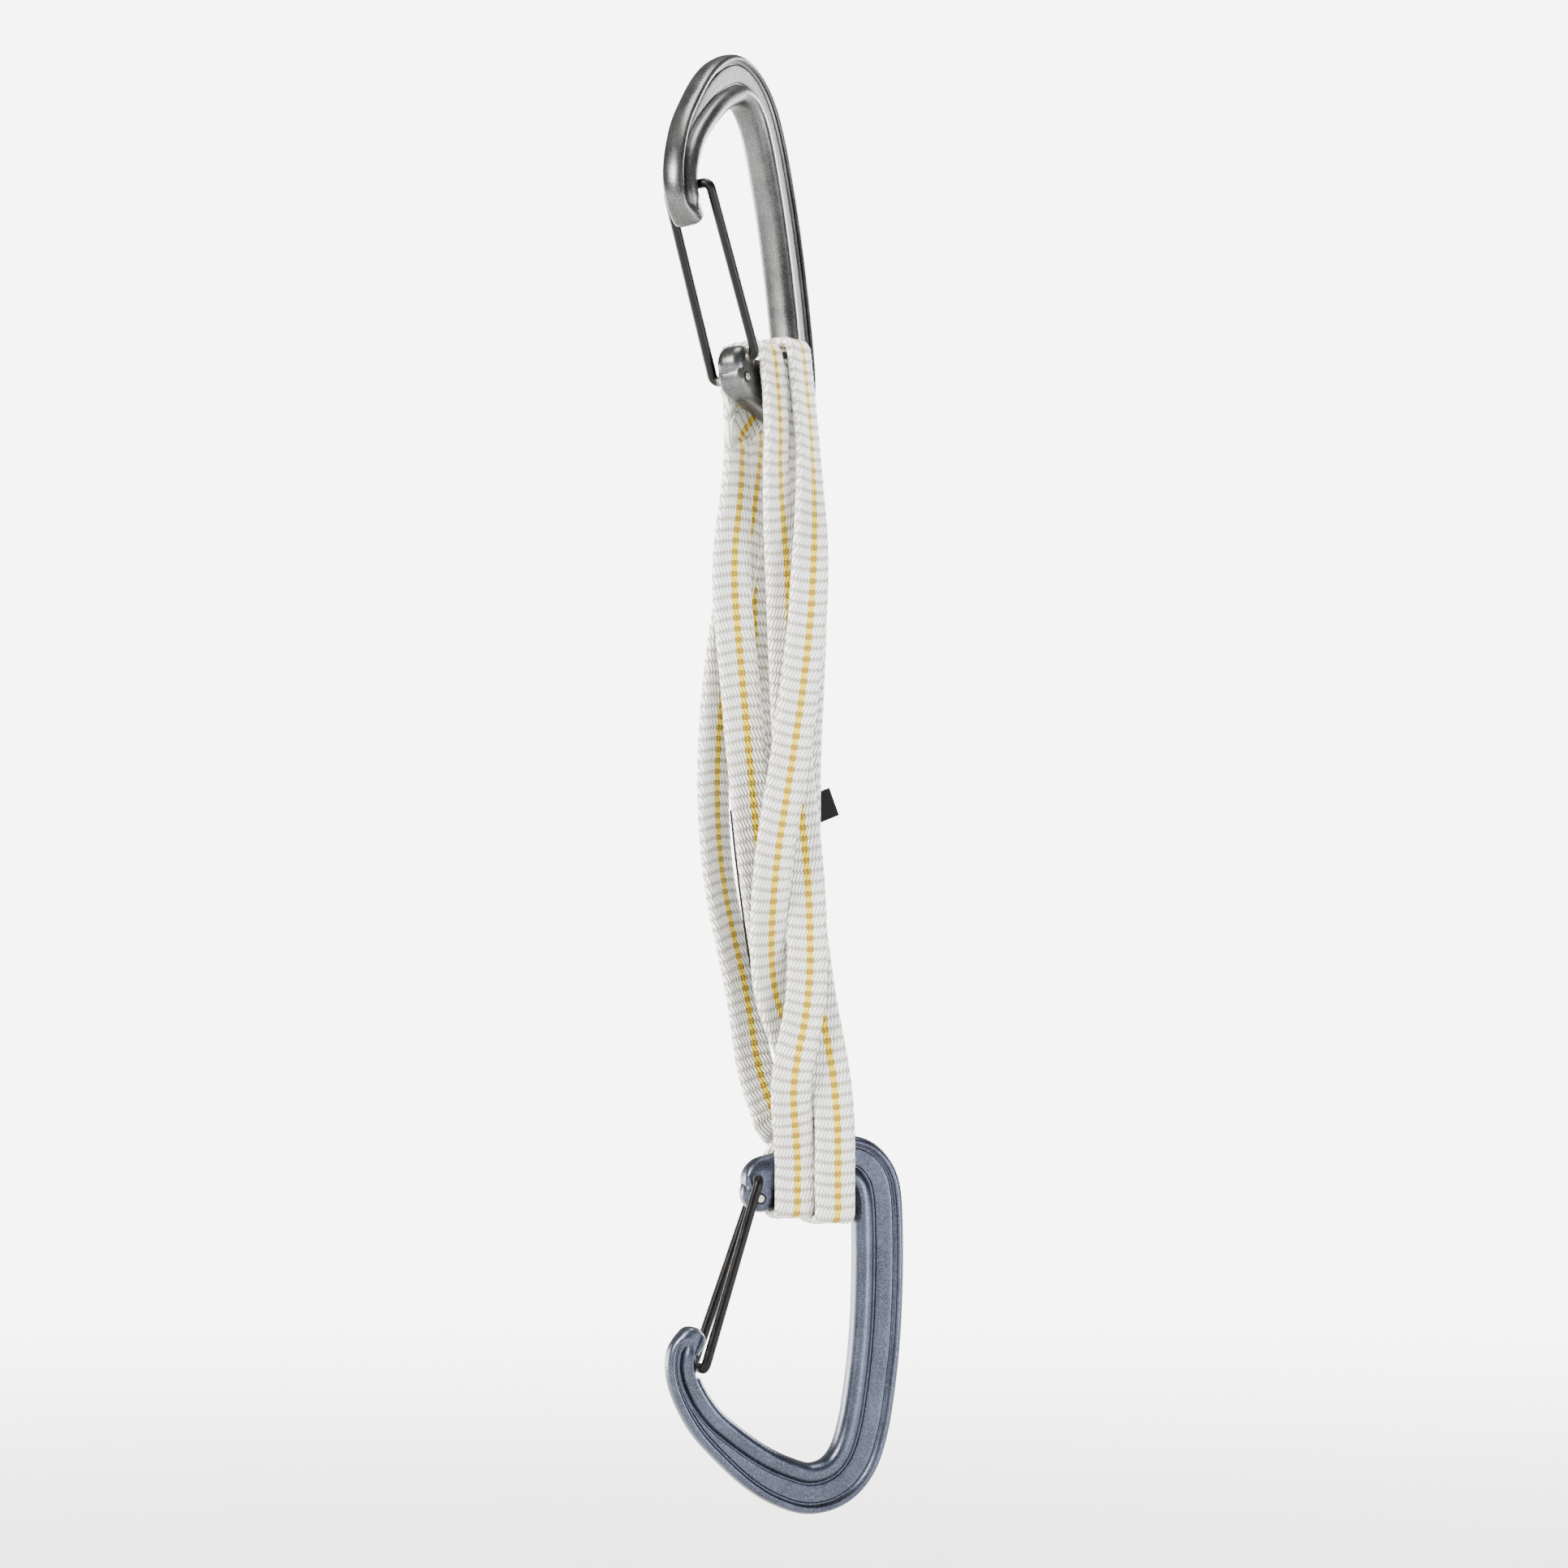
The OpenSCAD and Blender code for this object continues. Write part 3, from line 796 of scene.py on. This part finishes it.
def bar_rings(p):
    """Rings of the bar in the flat frame, with the distance along it."""
    line = catmull([Vector(q) for q in BAR], 8)
    line, step = even(line, p.step, 2)
    length = step * (len(line) - 1)
    rings, along = [], []
    cap = (14, 28, 40, 52, 64, 75, 84)

    def ring(c, t, half, fill, flat, squash=1.0, narrow=1.0, cut=None):
        """The section round the point c, square to the direction t of the bar."""
        out = Vector((-t[1], t[0], 0))
        pts = half_profile(p, half, fill, flat)
        pts = pts + [(d, -n) for d, n in reversed(pts[1:-1])]
        made_ring = []
        for d, n in pts:
            d *= narrow
            if cut is not None and d < -cut:
                d = -cut
            made_ring.append(Vector((c[0], c[1], 0)) + out * d + Vector((0, 0, n * squash)))
        return made_ring

    last = len(line) - 1
    for i, c in enumerate(line):
        t = (line[min(i + 1, last)] - line[max(i - 1, 0)]).to_2d().normalized()
        s = i * step
        # Solid over the first 5.5 mm and the last 0.6 mm, and fading in and out of it
        fill = max(1 - smooth((s - 5.5) / 5.0), smooth((s - length + 3.6) / 3.0))
        flat = mix(3.4, 3.0, smooth(s / 14))
        # The notch for the wire, cut into the inner side behind the nose
        cut = None
        if s > length / 2 and -14.2 < c[1] < -5.0:
            deep = smooth((c[1] + 14.0) / 1.2) * smooth((-5.2 - c[1]) / 1.0)
            reach = (-22.2 - c[0]) / max(0.3, abs(t[1]))
            cut = mix(c[2], min(c[2], reach), deep)
        if i == 0:
            for a in reversed(cap):
                a = math.radians(a)
                at = Vector(c[:2]) - t * c[2] * math.sin(a)
                squash = 1 - 0.3 * smooth((math.sin(a) - 0.8) / 0.2)
                rings.append(ring(at, t, c[2], 1, 3.4, squash, math.cos(a)))
                along.append(-c[2] * math.sin(a))
        rings.append(ring(c, t, c[2], fill, flat, cut=cut))
        along.append(s)
        if i == last:
            for a in cap:
                a = math.radians(a)
                at = Vector(c[:2]) + t * c[2] * 0.9 * math.sin(a)
                squash = 1 - 0.5 * smooth((math.sin(a) - 0.7) / 0.3)
                rings.append(ring(at, t, c[2], 1, 3.0, squash, math.cos(a)))
                along.append(s + c[2] * math.sin(a))
    return rings, along


def drum(side, centre, radius, low, high, bevel, count=64, slot=0):
    """A round boss along the carabiner's normal, its rims bevelled, of that material slot."""
    turn, _ = placed()[side]
    at = to_row(side, centre + Vector((0, 0, (low + high) / 2)))
    bm = bmesh.new()
    bm.loops.layers.uv.new("UVMap")
    bmesh.ops.create_cone(
        bm, cap_ends=True, segments=count, radius1=radius * MM, radius2=radius * MM,
        depth=(high - low) * MM, matrix=Matrix.Translation(at) @ turn.to_4x4(),
    )
    rims = [e for e in bm.edges if any(len(f.verts) > 4 for f in e.link_faces)]
    bmesh.ops.bevel(
        bm, geom=rims, offset=bevel * MM, segments=8, profile=0.5, affect="EDGES", material=-1,
    )
    for f in bm.faces:
        f.smooth = len(f.verts) == 4
        f.material_index = slot
    bmesh.ops.recalc_face_normals(bm, faces=bm.faces)
    return bm


class QUICKDRAW_OT_frames(bpy.types.Operator):
    """Builds both forged carabiner frames with rim, grooves, web and rounded inner flange"""

    bl_idname = "quickdraw.frames"
    bl_label = "Carabiner frames"

    def execute(self, context):
        tints = context.scene.quickdraw_carabiner
        p = in_millimetres(tints)
        looks = {
            "upper": alloy("Grey anodised alloy", tints.upper_dark, tints.upper_light, 0.22, tints),
            "lower": alloy("Blue-grey anodised alloy", tints.lower_dark, tints.lower_light, 0.24, tints),
        }
        rings, along = bar_rings(p)
        count = len(rings[0])
        across = [0.0]
        middle = rings[len(rings) // 2]
        for j in range(count):
            across.append(across[-1] + (middle[(j + 1) % count] - middle[j]).length)
        whole = across[-1]
        across = [a if a < whole / 2 else a - whole for a in across]
        for side in SIDES:
            placed_rings = [[to_row(side, q) for q in ring] for ring in rings]
            bar = loft(f"{side}_frame", placed_rings, across, along, crease=35)
            lobe = drum(side, LOBE, 4.5, -p.boss, p.boss, 2.4)
            o = made(f"{side}_carabiner_frame", joined(bar, lobe), looks[side])
            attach(o, f"{side}_carabiner")
            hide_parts(f"{side}_frame")
        return {"FINISHED"}


# ---- Wire gates ----
def arc(centre, a, b, radius, steps=8):
    """A quarter turn about centre from direction a to direction b."""
    turn = [math.pi / 2 * i / steps for i in range(steps + 1)]
    return [centre + radius * (a * math.cos(x) + b * math.sin(x)) for x in turn]


def gate_side(pin, sign, foot):
    """One leg of the gate from its foot in the bore to the closed end, in the flat frame."""
    n = Vector((0, 0, sign))
    way = (WIRE_END - pin).normalized()
    low = LEG_N - BEND
    out = [pin + n * foot, pin + n * (low * 0.5)]
    out += arc(pin + way * BEND + n * low, -way, n, BEND)
    reach = (WIRE_END - pin).length
    out += [pin + way * mix(BEND, reach - BEND, i / 30) + n * LEG_N for i in range(1, 30)]
    out += arc(pin + way * (reach - BEND) + n * low, n, way, BEND)
    return out


class QUICKDRAW_OT_gates(bpy.types.Operator):
    """Bends each wire gate from one wire, its two ends in the frame's offset bores"""

    bl_idname = "quickdraw.gates"
    bl_label = "Wire gates"

    def execute(self, context):
        tints = context.scene.quickdraw_gate
        radius = in_millimetres(tints).radius
        look, bare = blackened_wire(tints), bare_steel(tints)
        boss = in_millimetres(context.scene.quickdraw_carabiner).boss
        for side in SIDES:
            leg = gate_side(PIN_B, -1, -boss)
            loop = gate_side(PIN_A, 1, -boss) + list(reversed(leg[LEG_SPLIT:]))
            wires = []
            for path in (loop, leg[: LEG_SPLIT + 1]):
                path = [to_row(side, q) for q in path]
                wires.append(tube("gate", path, radius, tints.around))
            gate = made(f"{side}_gate", wires[0], look)
            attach(gate, f"{side}_gate")
            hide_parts(f"{side}_gate_wire")
            # The leg in the second bore, up to the split, as a piece of its own
            way = (WIRE_END - PIN_B).normalized()
            bent = made(f"{side}_gate_leg", wires[1], look)
            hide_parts(f"{side}_gate_far_end")
            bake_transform(bent)
            # Peened in their bores, the cut ends show bright inside a ring of the coating
            tips = []
            for pin, way in ((PIN_A, -1), (PIN_B, 1)):
                for wider, proud, bevel, slot in ((0.2, 0.12, 0.1, 0), (-0.22, 0.24, 0.16, 1)):
                    low, high = sorted((way * (boss - 1.8), way * (boss + proud)))
                    tips.append(drum(side, pin, radius + wider, low, high, bevel, 32, slot))
            tip = made(f"{side}_wire_ends", joined(*tips), look, bare)
            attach(tip, f"{side}_carabiner")
        return {"FINISHED"}


# ---- Sling ----
def sections(bm, z):
    """Centre and direction of width of each strand that the level z cuts."""
    cut = bm.copy()
    got = bmesh.ops.bisect_plane(
        cut, geom=cut.verts[:] + cut.edges[:] + cut.faces[:],
        plane_co=(0, 0, z), plane_no=(0, 0, 1), dist=1e-8,
    )["geom_cut"]
    edges = [e for e in got if isinstance(e, bmesh.types.BMEdge)]
    group = {}
    for e in edges:
        a, b = (group.setdefault(v, {v}) for v in e.verts)
        if a is not b:
            a |= b
            for v in b:
                group[v] = a
    found = []
    for members in {id(g): g for g in group.values()}.values():
        own = [e for e in edges if e.verts[0] in members]
        total = sum(e.calc_length() for e in own)
        centre = Vector((0, 0, 0))
        for e in own:
            centre += (e.verts[0].co + e.verts[1].co) / 2 * e.calc_length() / total
        xx = xy = yy = 0.0
        for e in own:
            m = (e.verts[0].co + e.verts[1].co) / 2 - centre
            d = e.verts[1].co - e.verts[0].co
            w = e.calc_length()
            xx += w * (m.x * m.x + d.x * d.x / 12)
            xy += w * (m.x * m.y + d.x * d.y / 12)
            yy += w * (m.y * m.y + d.y * d.y / 12)
        a = 0.5 * math.atan2(2 * xy, xx - yy)
        wide = Vector((math.cos(a), math.sin(a), 0))
        found.append((centre / MM, wide if wide.x > 0 else -wide))
    cut.free()
    return found


def loop_points(side, place):
    """A turn round the bar as points with the direction of width, front leg first."""
    u, gap, deep = place
    leg = [(38, gap), (33.5, gap), (deep + 2.6, gap), (deep + 0.75, gap - 0.6), (deep + 0.1, gap - 2.3)]
    pts = [(u, w, n) for w, n in leg] + [(u, deep, 0)] + [(u, w, -n) for w, n in reversed(leg)]
    turn, at = placed()[side]
    wide = turn @ Vector((1, 0, 0))
    return [(at + turn @ Vector(q), wide) for q in pts]


def strands(frame):
    """The six strands between the loops, read from the part: each a list from top to bottom."""
    nodes = ("top_flex", "upper_run", "mid_flex", "lower_run", "bottom_flex")
    tracks = []
    for top, _ in TURNS:
        loop = loop_points("upper", LOOPS[top])
        tracks += [[loop[-1]], [loop[0]]]
    for name in nodes:
        o = frame["nodes"][f"sling_{name}"]
        low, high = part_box(f"sling_{name}")
        bm = bmesh.new()
        bm.from_mesh(o.data)
        bmesh.ops.remove_doubles(bm, verts=bm.verts, dist=2e-6)
        # Levels about 3 mm apart, clear of the node's slanting ends
        first, tall = high.z - 0.0045, high.z - low.z - 0.009
        count = max(1, round(tall / 0.003))
        for i in range(count + 1):
            z = first - tall * i / count
            found = sections(bm, z)
            if len(found) != len(tracks):
                raise RuntimeError(f"sling_{name} has {len(found)} strands at {z}")
            pairs = []
            for a, track in enumerate(tracks):
                here = track[-1][0]
                slope = Vector((0, 0, 0))
                if len(track) > 2:
                    d = track[-1][0] - track[-2][0]
                    slope = d / max(0.5, abs(d.z)) * abs(here.z - z / MM)
                guess = here + slope
                for b, (c, _) in enumerate(found):
                    pairs.append(((guess - c).to_2d().length, a, b))
            used_a, used_b = set(), set()
            for _, a, b in sorted(pairs):
                if a not in used_a and b not in used_b:
                    used_a.add(a)
                    used_b.add(b)
                    tracks[a].append(found[b])
        bm.free()
    return [t[1:] for t in tracks]


def calm(points, rounds=3):
    """Smooths a run of points, leaving its two ends."""
    for _ in range(rounds):
        points = [points[0]] + [
            ((a[0] + 2 * b[0] + c[0]) / 4, (a[1] + 2 * b[1] + c[1]).normalized())
            for a, b, c in zip(points, points[1:], points[2:])
        ] + [points[-1]]
    return points


class Route:
    """The sling's closed route as evenly spaced stations with axes, in mm."""

    def __init__(self, frame, step):
        down_up = [calm(s) for s in strands(frame)]
        knots, self.marks = [], []
        for k, (top, bottom) in enumerate(TURNS):
            down, up = down_up[2 * k], down_up[2 * k + 1]
            begin = len(knots)
            knots += loop_points("upper", LOOPS[top])
            a = len(knots)
            knots += down
            b = len(knots)
            knots += loop_points("lower", LOOPS[bottom])
            c = len(knots)
            knots += list(reversed(up))
            self.marks.append((begin, a, b, c, len(knots)))
        n = len(knots)
        self.at, self.wide = [], []
        for i in range(n):
            quad = [knots[(i + k) % n] for k in (-1, 0, 1, 2)]
            for j in range(KNOT_STEPS):
                t = j / KNOT_STEPS
                for store, part in ((self.at, 0), (self.wide, 1)):
                    a, b, c, d = (q[part] for q in quad)
                    store.append(
                        0.5 * (2 * b + (c - a) * t + (2 * a - 5 * b + 4 * c - d) * t * t
                        + (3 * b - a - 3 * c + d) * t ** 3)
                    )
        self.respace(step)

    def respace(self, step):
        """Spaces the stations evenly, about step apart."""
        n = len(self.at)
        run = [0.0]
        for i in range(n):
            run.append(run[-1] + (self.at[(i + 1) % n] - self.at[i]).length)
        self.count = round(run[-1] / step)
        self.step = run[-1] / self.count
        at, wide, k = [], [], 0
        for i in range(self.count):
            s = i * self.step
            while run[k + 1] < s:
                k += 1
            t = (s - run[k]) / max(1e-9, run[k + 1] - run[k])
            at.append(mix(self.at[k], self.at[(k + 1) % n], t))
            wide.append(mix(self.wide[k], self.wide[(k + 1) % n], t))
        self.turn_run = [[run[m * KNOT_STEPS] for m in marks] for marks in self.marks]
        self.at, self.wide = at, wide

    def station(self, i):
        """(place, across, out of the face) at a station."""
        n = self.count
        p = self.at[i % n]
        t = (self.at[(i + 1) % n] - self.at[(i - 1) % n]).normalized()
        w = self.wide[i % n]
        x = (w - w.dot(t) * t).normalized()
        return p, x, t.cross(x)

    def find(self, turn, down, z):
        """The station where a turn's strand passes the level z (mm)."""
        marks = self.turn_run[turn]
        lo, hi = (marks[1], marks[2]) if down else (marks[3], marks[4])
        past = 14
        a, b = round((lo - past) / self.step), round((hi + past) / self.step)
        return min(range(a, b), key=lambda i: abs(self.at[i % self.count].z - z))


def web_outline(width, thick):
    """Outline of the webbing: across, out, and how far a point is on the flat (1) or edge (0)."""
    half, h = width / 2, thick / 2
    face = [(-0.93, 0.72), (-0.84, 0.97), (-0.66, 0.98), (-0.48, 0.9), (-0.26, 0.88), (-0.06, 0.87)]
    face += [(0.14, 0.87), (0.34, 0.88), (0.52, 0.92), (0.68, 0.98), (0.84, 0.97), (0.93, 0.72)]
    out = [(x * half, y * h) for x, y in face] + [(half, 0.25 * h), (half, -0.25 * h)]
    out += [(x * half, -y * h) for x, y in reversed(face)] + [(-half, -0.25 * h), (-half, 0.25 * h)]
    return out


def woven(route, first, last, p, width=None, thick=None, shift=0.0):
    """A stretch of webbing between two stations, with its ribs and knobbly selvedges."""
    width, thick = width or p.width, thick or p.thickness
    outline = web_outline(width, thick)
    half = width / 2
    rings, along = [], []
    for i in range(first, last + 1):
        at, x, y = route.station(i)
        v = i * route.step
        knob = p.knobs * (abs(math.cos(math.pi * (v / p.pitch * 2 + 0.2))) - 0.6)
        ring = []
        for a, b in outline:
            phase = (v + p.bow * (a / half) ** 2) / p.pitch % 1
            rib = p.relief * (math.sin(math.pi * phase ** 0.8) ** 0.7 - 0.8)
            edge = smooth((abs(a) / half - 0.8) / 0.2)
            da = math.copysign(knob * edge, a)
            db = math.copysign(rib * (1 - 0.5 * edge), b)
            ring.append((at + x * (a + da) + y * (b + db + shift)) * MM)
        rings.append(ring)
        along.append(v)
    across = [a for a, _ in outline] + [outline[0][0]]
    return loft("webbing", rings, across, along, crease=70)


class QUICKDRAW_OT_sling(bpy.types.Operator):
    """Weaves the sling in three pieces, each over one of its flex nodes"""

    bl_idname = "quickdraw.sling"
    bl_label = "Sling"

    def execute(self, context):
        tints = context.scene.quickdraw_sling
        p = in_millimetres(tints)
        route = SHOP["route"]
        look = webbing(p.pitch, p.bow, p.width, tints)
        SHOP["cloth"] = look
        top_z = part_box("sling_upper_run")[1].z / MM - 1.2
        low_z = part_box("sling_lower_run")[0].z / MM + 1.2
        tops, middles, bottoms = [], [], []
        for k in range(len(TURNS)):
            a, b = route.find(k, True, top_z), route.find(k, True, low_z)
            c, d = route.find(k, False, low_z), route.find(k, False, top_z)
            before = route.find((k - 1) % len(TURNS), False, top_z)
            if before > a:
                before -= route.count
            tops.append(woven(route, before, a, p))
            middles.append(woven(route, a, b, p))
            bottoms.append(woven(route, b, c, p))
            middles.append(woven(route, c, d, p))
        # The two levels round each piece's flex node
        turn, at = placed()["upper"]
        leave = (at + turn @ Vector((6, LOOPS_END, 0))).z + 0.6
        arrive = placed()["lower"][1].z + LOOPS_END - 0.6
        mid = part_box("sling_mid_flex")
        levels = (leave, top_z + 2.4), (mid[1].z / MM - 2, mid[0].z / MM + 2), (low_z - 2.4, arrive)
        bodies = ("upper_carabiner", "sling_upper", "sling_lower", "lower_carabiner")
        pieces = (
            ("sling_top", tops, ("sling_top_loops", "sling_top_flex")),
            ("sling_middle", middles, ("sling_upper_run", "sling_mid_flex", "sling_lower_run")),
            ("sling_bottom", bottoms, ("sling_bottom_flex", "sling_bottom_loops")),
        )
        for (name, parts, nodes), (start, end), a, b in zip(pieces, levels, bodies, bodies[1:]):
            o = made(name, joined(*parts), look)
            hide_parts(*nodes)
            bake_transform(o)
        return {"FINISHED"}


class QUICKDRAW_OT_lap(bpy.types.Operator):
    """Lays the sling's tail on its own strand, with its sealed end and bar tack stitches"""

    bl_idname = "quickdraw.lap"
    bl_label = "Lap and bar tacks"

    def execute(self, context):
        tints = context.scene.quickdraw_sling
        sewing = context.scene.quickdraw_labels
        p = in_millimetres(tints)
        route = SHOP["route"]
        look = SHOP["cloth"]
        low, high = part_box("sling_overlap")
        first = route.find(1, True, high.z / MM - 1.0)
        last = route.find(1, True, low.z / MM + 1.0)
        # The tail lies behind its strand, a little narrower and thinner than the webbing
        shift = -2.75
        lap = made("sling_lap", woven(route, first, last, p, 9.0, 1.8, shift), look)
        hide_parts("sling_overlap")
        ends = []
        for i in (first, last):
            ends.append(woven(route, i - 2, i + 2, p, 9.1, 1.9, shift))
        tip = made("sling_lap_ends", joined(*ends), sealed_end(tints))
        for o in (lap, tip):
            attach(o, "sling_lower")
        # Rows of zigzag thread through both layers, near each end of the lap
        thick = in_millimetres(sewing).thread
        tack_length, tack_half_width, from_end, zigzags = 17, 1.35, 1.5, 30
        rows = []
        span, gap = round(tack_length / route.step), round(from_end / route.step)
        for begin in (first + gap, last - span - gap):
            for out in (shift - 1.02, 1.12):
                path = []
                for k in range(zigzags + 1):
                    at, x, y = route.station(begin + round(span * k / zigzags))
                    for side in (-tack_half_width, tack_half_width):
                        path.append((at + x * (0.4 + side) + y * out) * MM)
                rows.append(tube("stitch", path, thick, 6))
        tacks = made("bar_tack_threads", joined(*rows), thread(sewing))
        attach(tacks, "sling_lower")
        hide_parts("bar_tacks")
        return {"FINISHED"}


def tape(route, first, last, width, thick, across, out, tilt=0.0):
    """A flat piece of label tape along the sling, turned by tilt degrees in its own plane."""
    half, h = width / 2, thick / 2
    flat = [(x / 5, 1) for x in range(-4, 5)]
    top = [(-1, -0.5), (-1, 0.5), (-0.96, 1), *flat, (0.96, 1), (1, 0.5)]
    outline = [(a * half, b * h) for a, b in top]
    outline += [(-a * half, -b * h) for a, b in top]
    middle, side, _ = route.station((first + last) // 2)
    rings, along = [], []
    for i in range(first, last + 1, 3):
        at, x, y = route.station(i)
        turn = Matrix.Rotation(math.radians(tilt), 3, y)
        pivot = at + x * across if tilt == 0 else middle + side * across
        ring = [at + x * (a + across) + y * (b + out) for a, b in outline]
        rings.append([(pivot + turn @ (q - pivot)) * MM for q in ring])
        along.append(i * route.step)
    return loft("tape", rings, [a for a, _ in outline] + [outline[0][0]], along, crease=60)


class QUICKDRAW_OT_labels(bpy.types.Operator):
    """Sews the long black label and the small flag tab to the sling"""

    bl_idname = "quickdraw.labels"
    bl_label = "Labels"

    def execute(self, context):
        tints = context.scene.quickdraw_labels
        thickness = in_millimetres(tints).thickness
        route = SHOP["route"]
        low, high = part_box("long_label")
        first = route.find(0, False, low.z / MM + 0.5)
        last = route.find(0, False, high.z / MM - 0.5)
        # The label is a little wider than the webbing and lies on its face
        label = made(
            "care_label", tape(route, first, last, 9.6, thickness, 0, 1.55),
            label_cloth("Printed label tape", True, tints),
        )
        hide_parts("long_label")
        # Running stitches along both its edges, up through the tape and down again
        seam_at, stitch, seam_radius = 4.2, 1.1, 0.13
        seams = []
        for side in (-seam_at, seam_at):
            path = []
            for k in range(round((last - first) * route.step / stitch)):
                at, x, y = route.station(first + round((k + 0.5) * stitch / route.step))
                out = 1.92 if k % 2 else 1.78
                path.append((at + x * side + y * out) * MM)
            seams.append(tube("seam", catmull(path, 3), seam_radius, 6))
        seam = made("label_seams", joined(*seams), thread(tints))
        low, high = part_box("flag_tab")
        first = route.find(1, True, high.z / MM - 0.8)
        last = route.find(1, True, low.z / MM + 0.8)
        # The flag stands out beside its strand, 4.2 mm above its solid, and leans outwards
        lift = round(4.2 / route.step)
        flag = made(
            "flag_label",
            tape(route, first - lift, last - lift, 7.0, thickness, 5.3, -1.4, tilt=21),
            label_cloth("Plain label tape", False, tints),
        )
        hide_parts("flag_tab")
        for o in (label, seam, flag):
            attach(o, "sling_lower")
        return {"FINISHED"}


# ---- Stage ----
class QUICKDRAW_OT_stage(bpy.types.Operator):
    """Lays the pale floor, hangs the lights and aims the camera from the front"""

    bl_idname = "quickdraw.stage"
    bl_label = "Studio"

    def execute(self, context):
        tints = context.scene.quickdraw_studio
        low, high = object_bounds()
        centre = (low + high) / 2
        bm = bmesh.new()
        bmesh.ops.create_circle(bm, cap_ends=True, radius=12, segments=96)
        below = 0.03
        for v in bm.verts:
            v.co.z = low.z - below
        made("floor", bm, studio_floor(tints))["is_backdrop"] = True
        # Name, place from the object's middle (m), size (m), power (W) and colour
        lights = (
            ("key", (-1.2, -0.95, 0.9), 0.6, 108, "#fffaf4"),
            ("fill", (1.3, -0.9, 0.0), 0.7, 30, "#f2f6ff"),
            ("top", (0.1, 0.1, 1.4), 0.9, 44, "#ffffff"),
            ("rim", (1.0, 1.2, 0.4), 0.7, 36, "#ffffff"),
            ("rim_left", (-1.2, 0.9, -0.1), 0.6, 28, "#ffffff"),
        )
        for name, offset, size, power, colour in lights:
            data = bpy.data.lights.new(name, "AREA")
            data.shape = "DISK"
            data.size = size
            data.energy = power
            data.color = linear(colour)[:3]
            lamp = bpy.data.objects.new(name, data)
            context.scene.collection.objects.link(lamp)
            lamp.location = centre + Vector(offset)
            lamp.rotation_mode = "QUATERNION"
            lamp.rotation_quaternion = (centre - lamp.location).to_track_quat("-Z", "Y")
            lamp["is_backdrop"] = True
        world = bpy.data.worlds.new("Studio")
        world.use_nodes = True
        tree = world.node_tree
        tree.nodes.clear()
        # Seen directly the backdrop is pale; what the metal mirrors is the dimmer room round it
        seen = put(tree, "LightPath", out="Is Camera Ray")
        level = put(tree, "MapRange", (seen, 0, 1, ROOM, BACKDROP), **EASED)
        back = put(tree, "Background", {"Strength": level, "Color": tints.backdrop})
        put(tree, "OutputWorld", {"Surface": back})
        context.scene.world = world
        data = bpy.data.cameras.new("camera")
        # A long lens, with the object's height over 93% of the frame
        data.lens = 200
        data.sensor_width = 36
        camera = bpy.data.objects.new("camera", data)
        context.scene.collection.objects.link(camera)
        tall = high.z - low.z
        away = tall * 1.07 / 2 / (data.sensor_width / 2 / data.lens)
        camera.location = centre + Vector((0, -away, 0))
        camera.rotation_euler = (math.pi / 2, 0, 0)
        context.scene.camera = camera
        return {"FINISHED"}


class QUICKDRAW_PT_panel(bpy.types.Panel):
    bl_label = "Quickdraw"
    bl_idname = "QUICKDRAW_PT_panel"
    bl_space_type = "VIEW_3D"
    bl_region_type = "UI"
    bl_category = "Quickdraw"

    def draw(self, context):
        for group in GROUPS:
            box = self.layout.box()
            for key in GROUPS[group].__annotations__:
                box.prop(getattr(context.scene, group), key)
        for name in STEPS:
            self.layout.operator(f"quickdraw.{name}")


GROUPS = {
    "quickdraw_carabiner": QuickdrawCarabiner,
    "quickdraw_gate": QuickdrawGate,
    "quickdraw_sling": QuickdrawSling,
    "quickdraw_labels": QuickdrawLabels,
    "quickdraw_studio": QuickdrawStudio,
}
STEPS = ("frames", "gates", "sling", "lap", "labels", "stage")
CLASSES = (
    *GROUPS.values(),
    QUICKDRAW_OT_frames, QUICKDRAW_OT_gates, QUICKDRAW_OT_sling, QUICKDRAW_OT_lap,
    QUICKDRAW_OT_labels, QUICKDRAW_OT_stage, QUICKDRAW_PT_panel,
)


def register():
    """Adds the classes, and a set of properties on the scene for each group."""
    for c in CLASSES:
        bpy.utils.register_class(c)
    for name, group in GROUPS.items():
        setattr(bpy.types.Scene, name, bpy.props.PointerProperty(type=group))


def unregister():
    """Takes them away again."""
    for name in GROUPS:
        delattr(bpy.types.Scene, name)
    for c in reversed(CLASSES):
        bpy.utils.unregister_class(c)


def main():
    """Builds everything in order."""
    register()
    SHOP["route"] = Route(FRAME, in_millimetres(bpy.context.scene.quickdraw_sling).step)
    for name in STEPS:
        getattr(bpy.ops.quickdraw, name)()


if __name__ == "__main__":
    main()
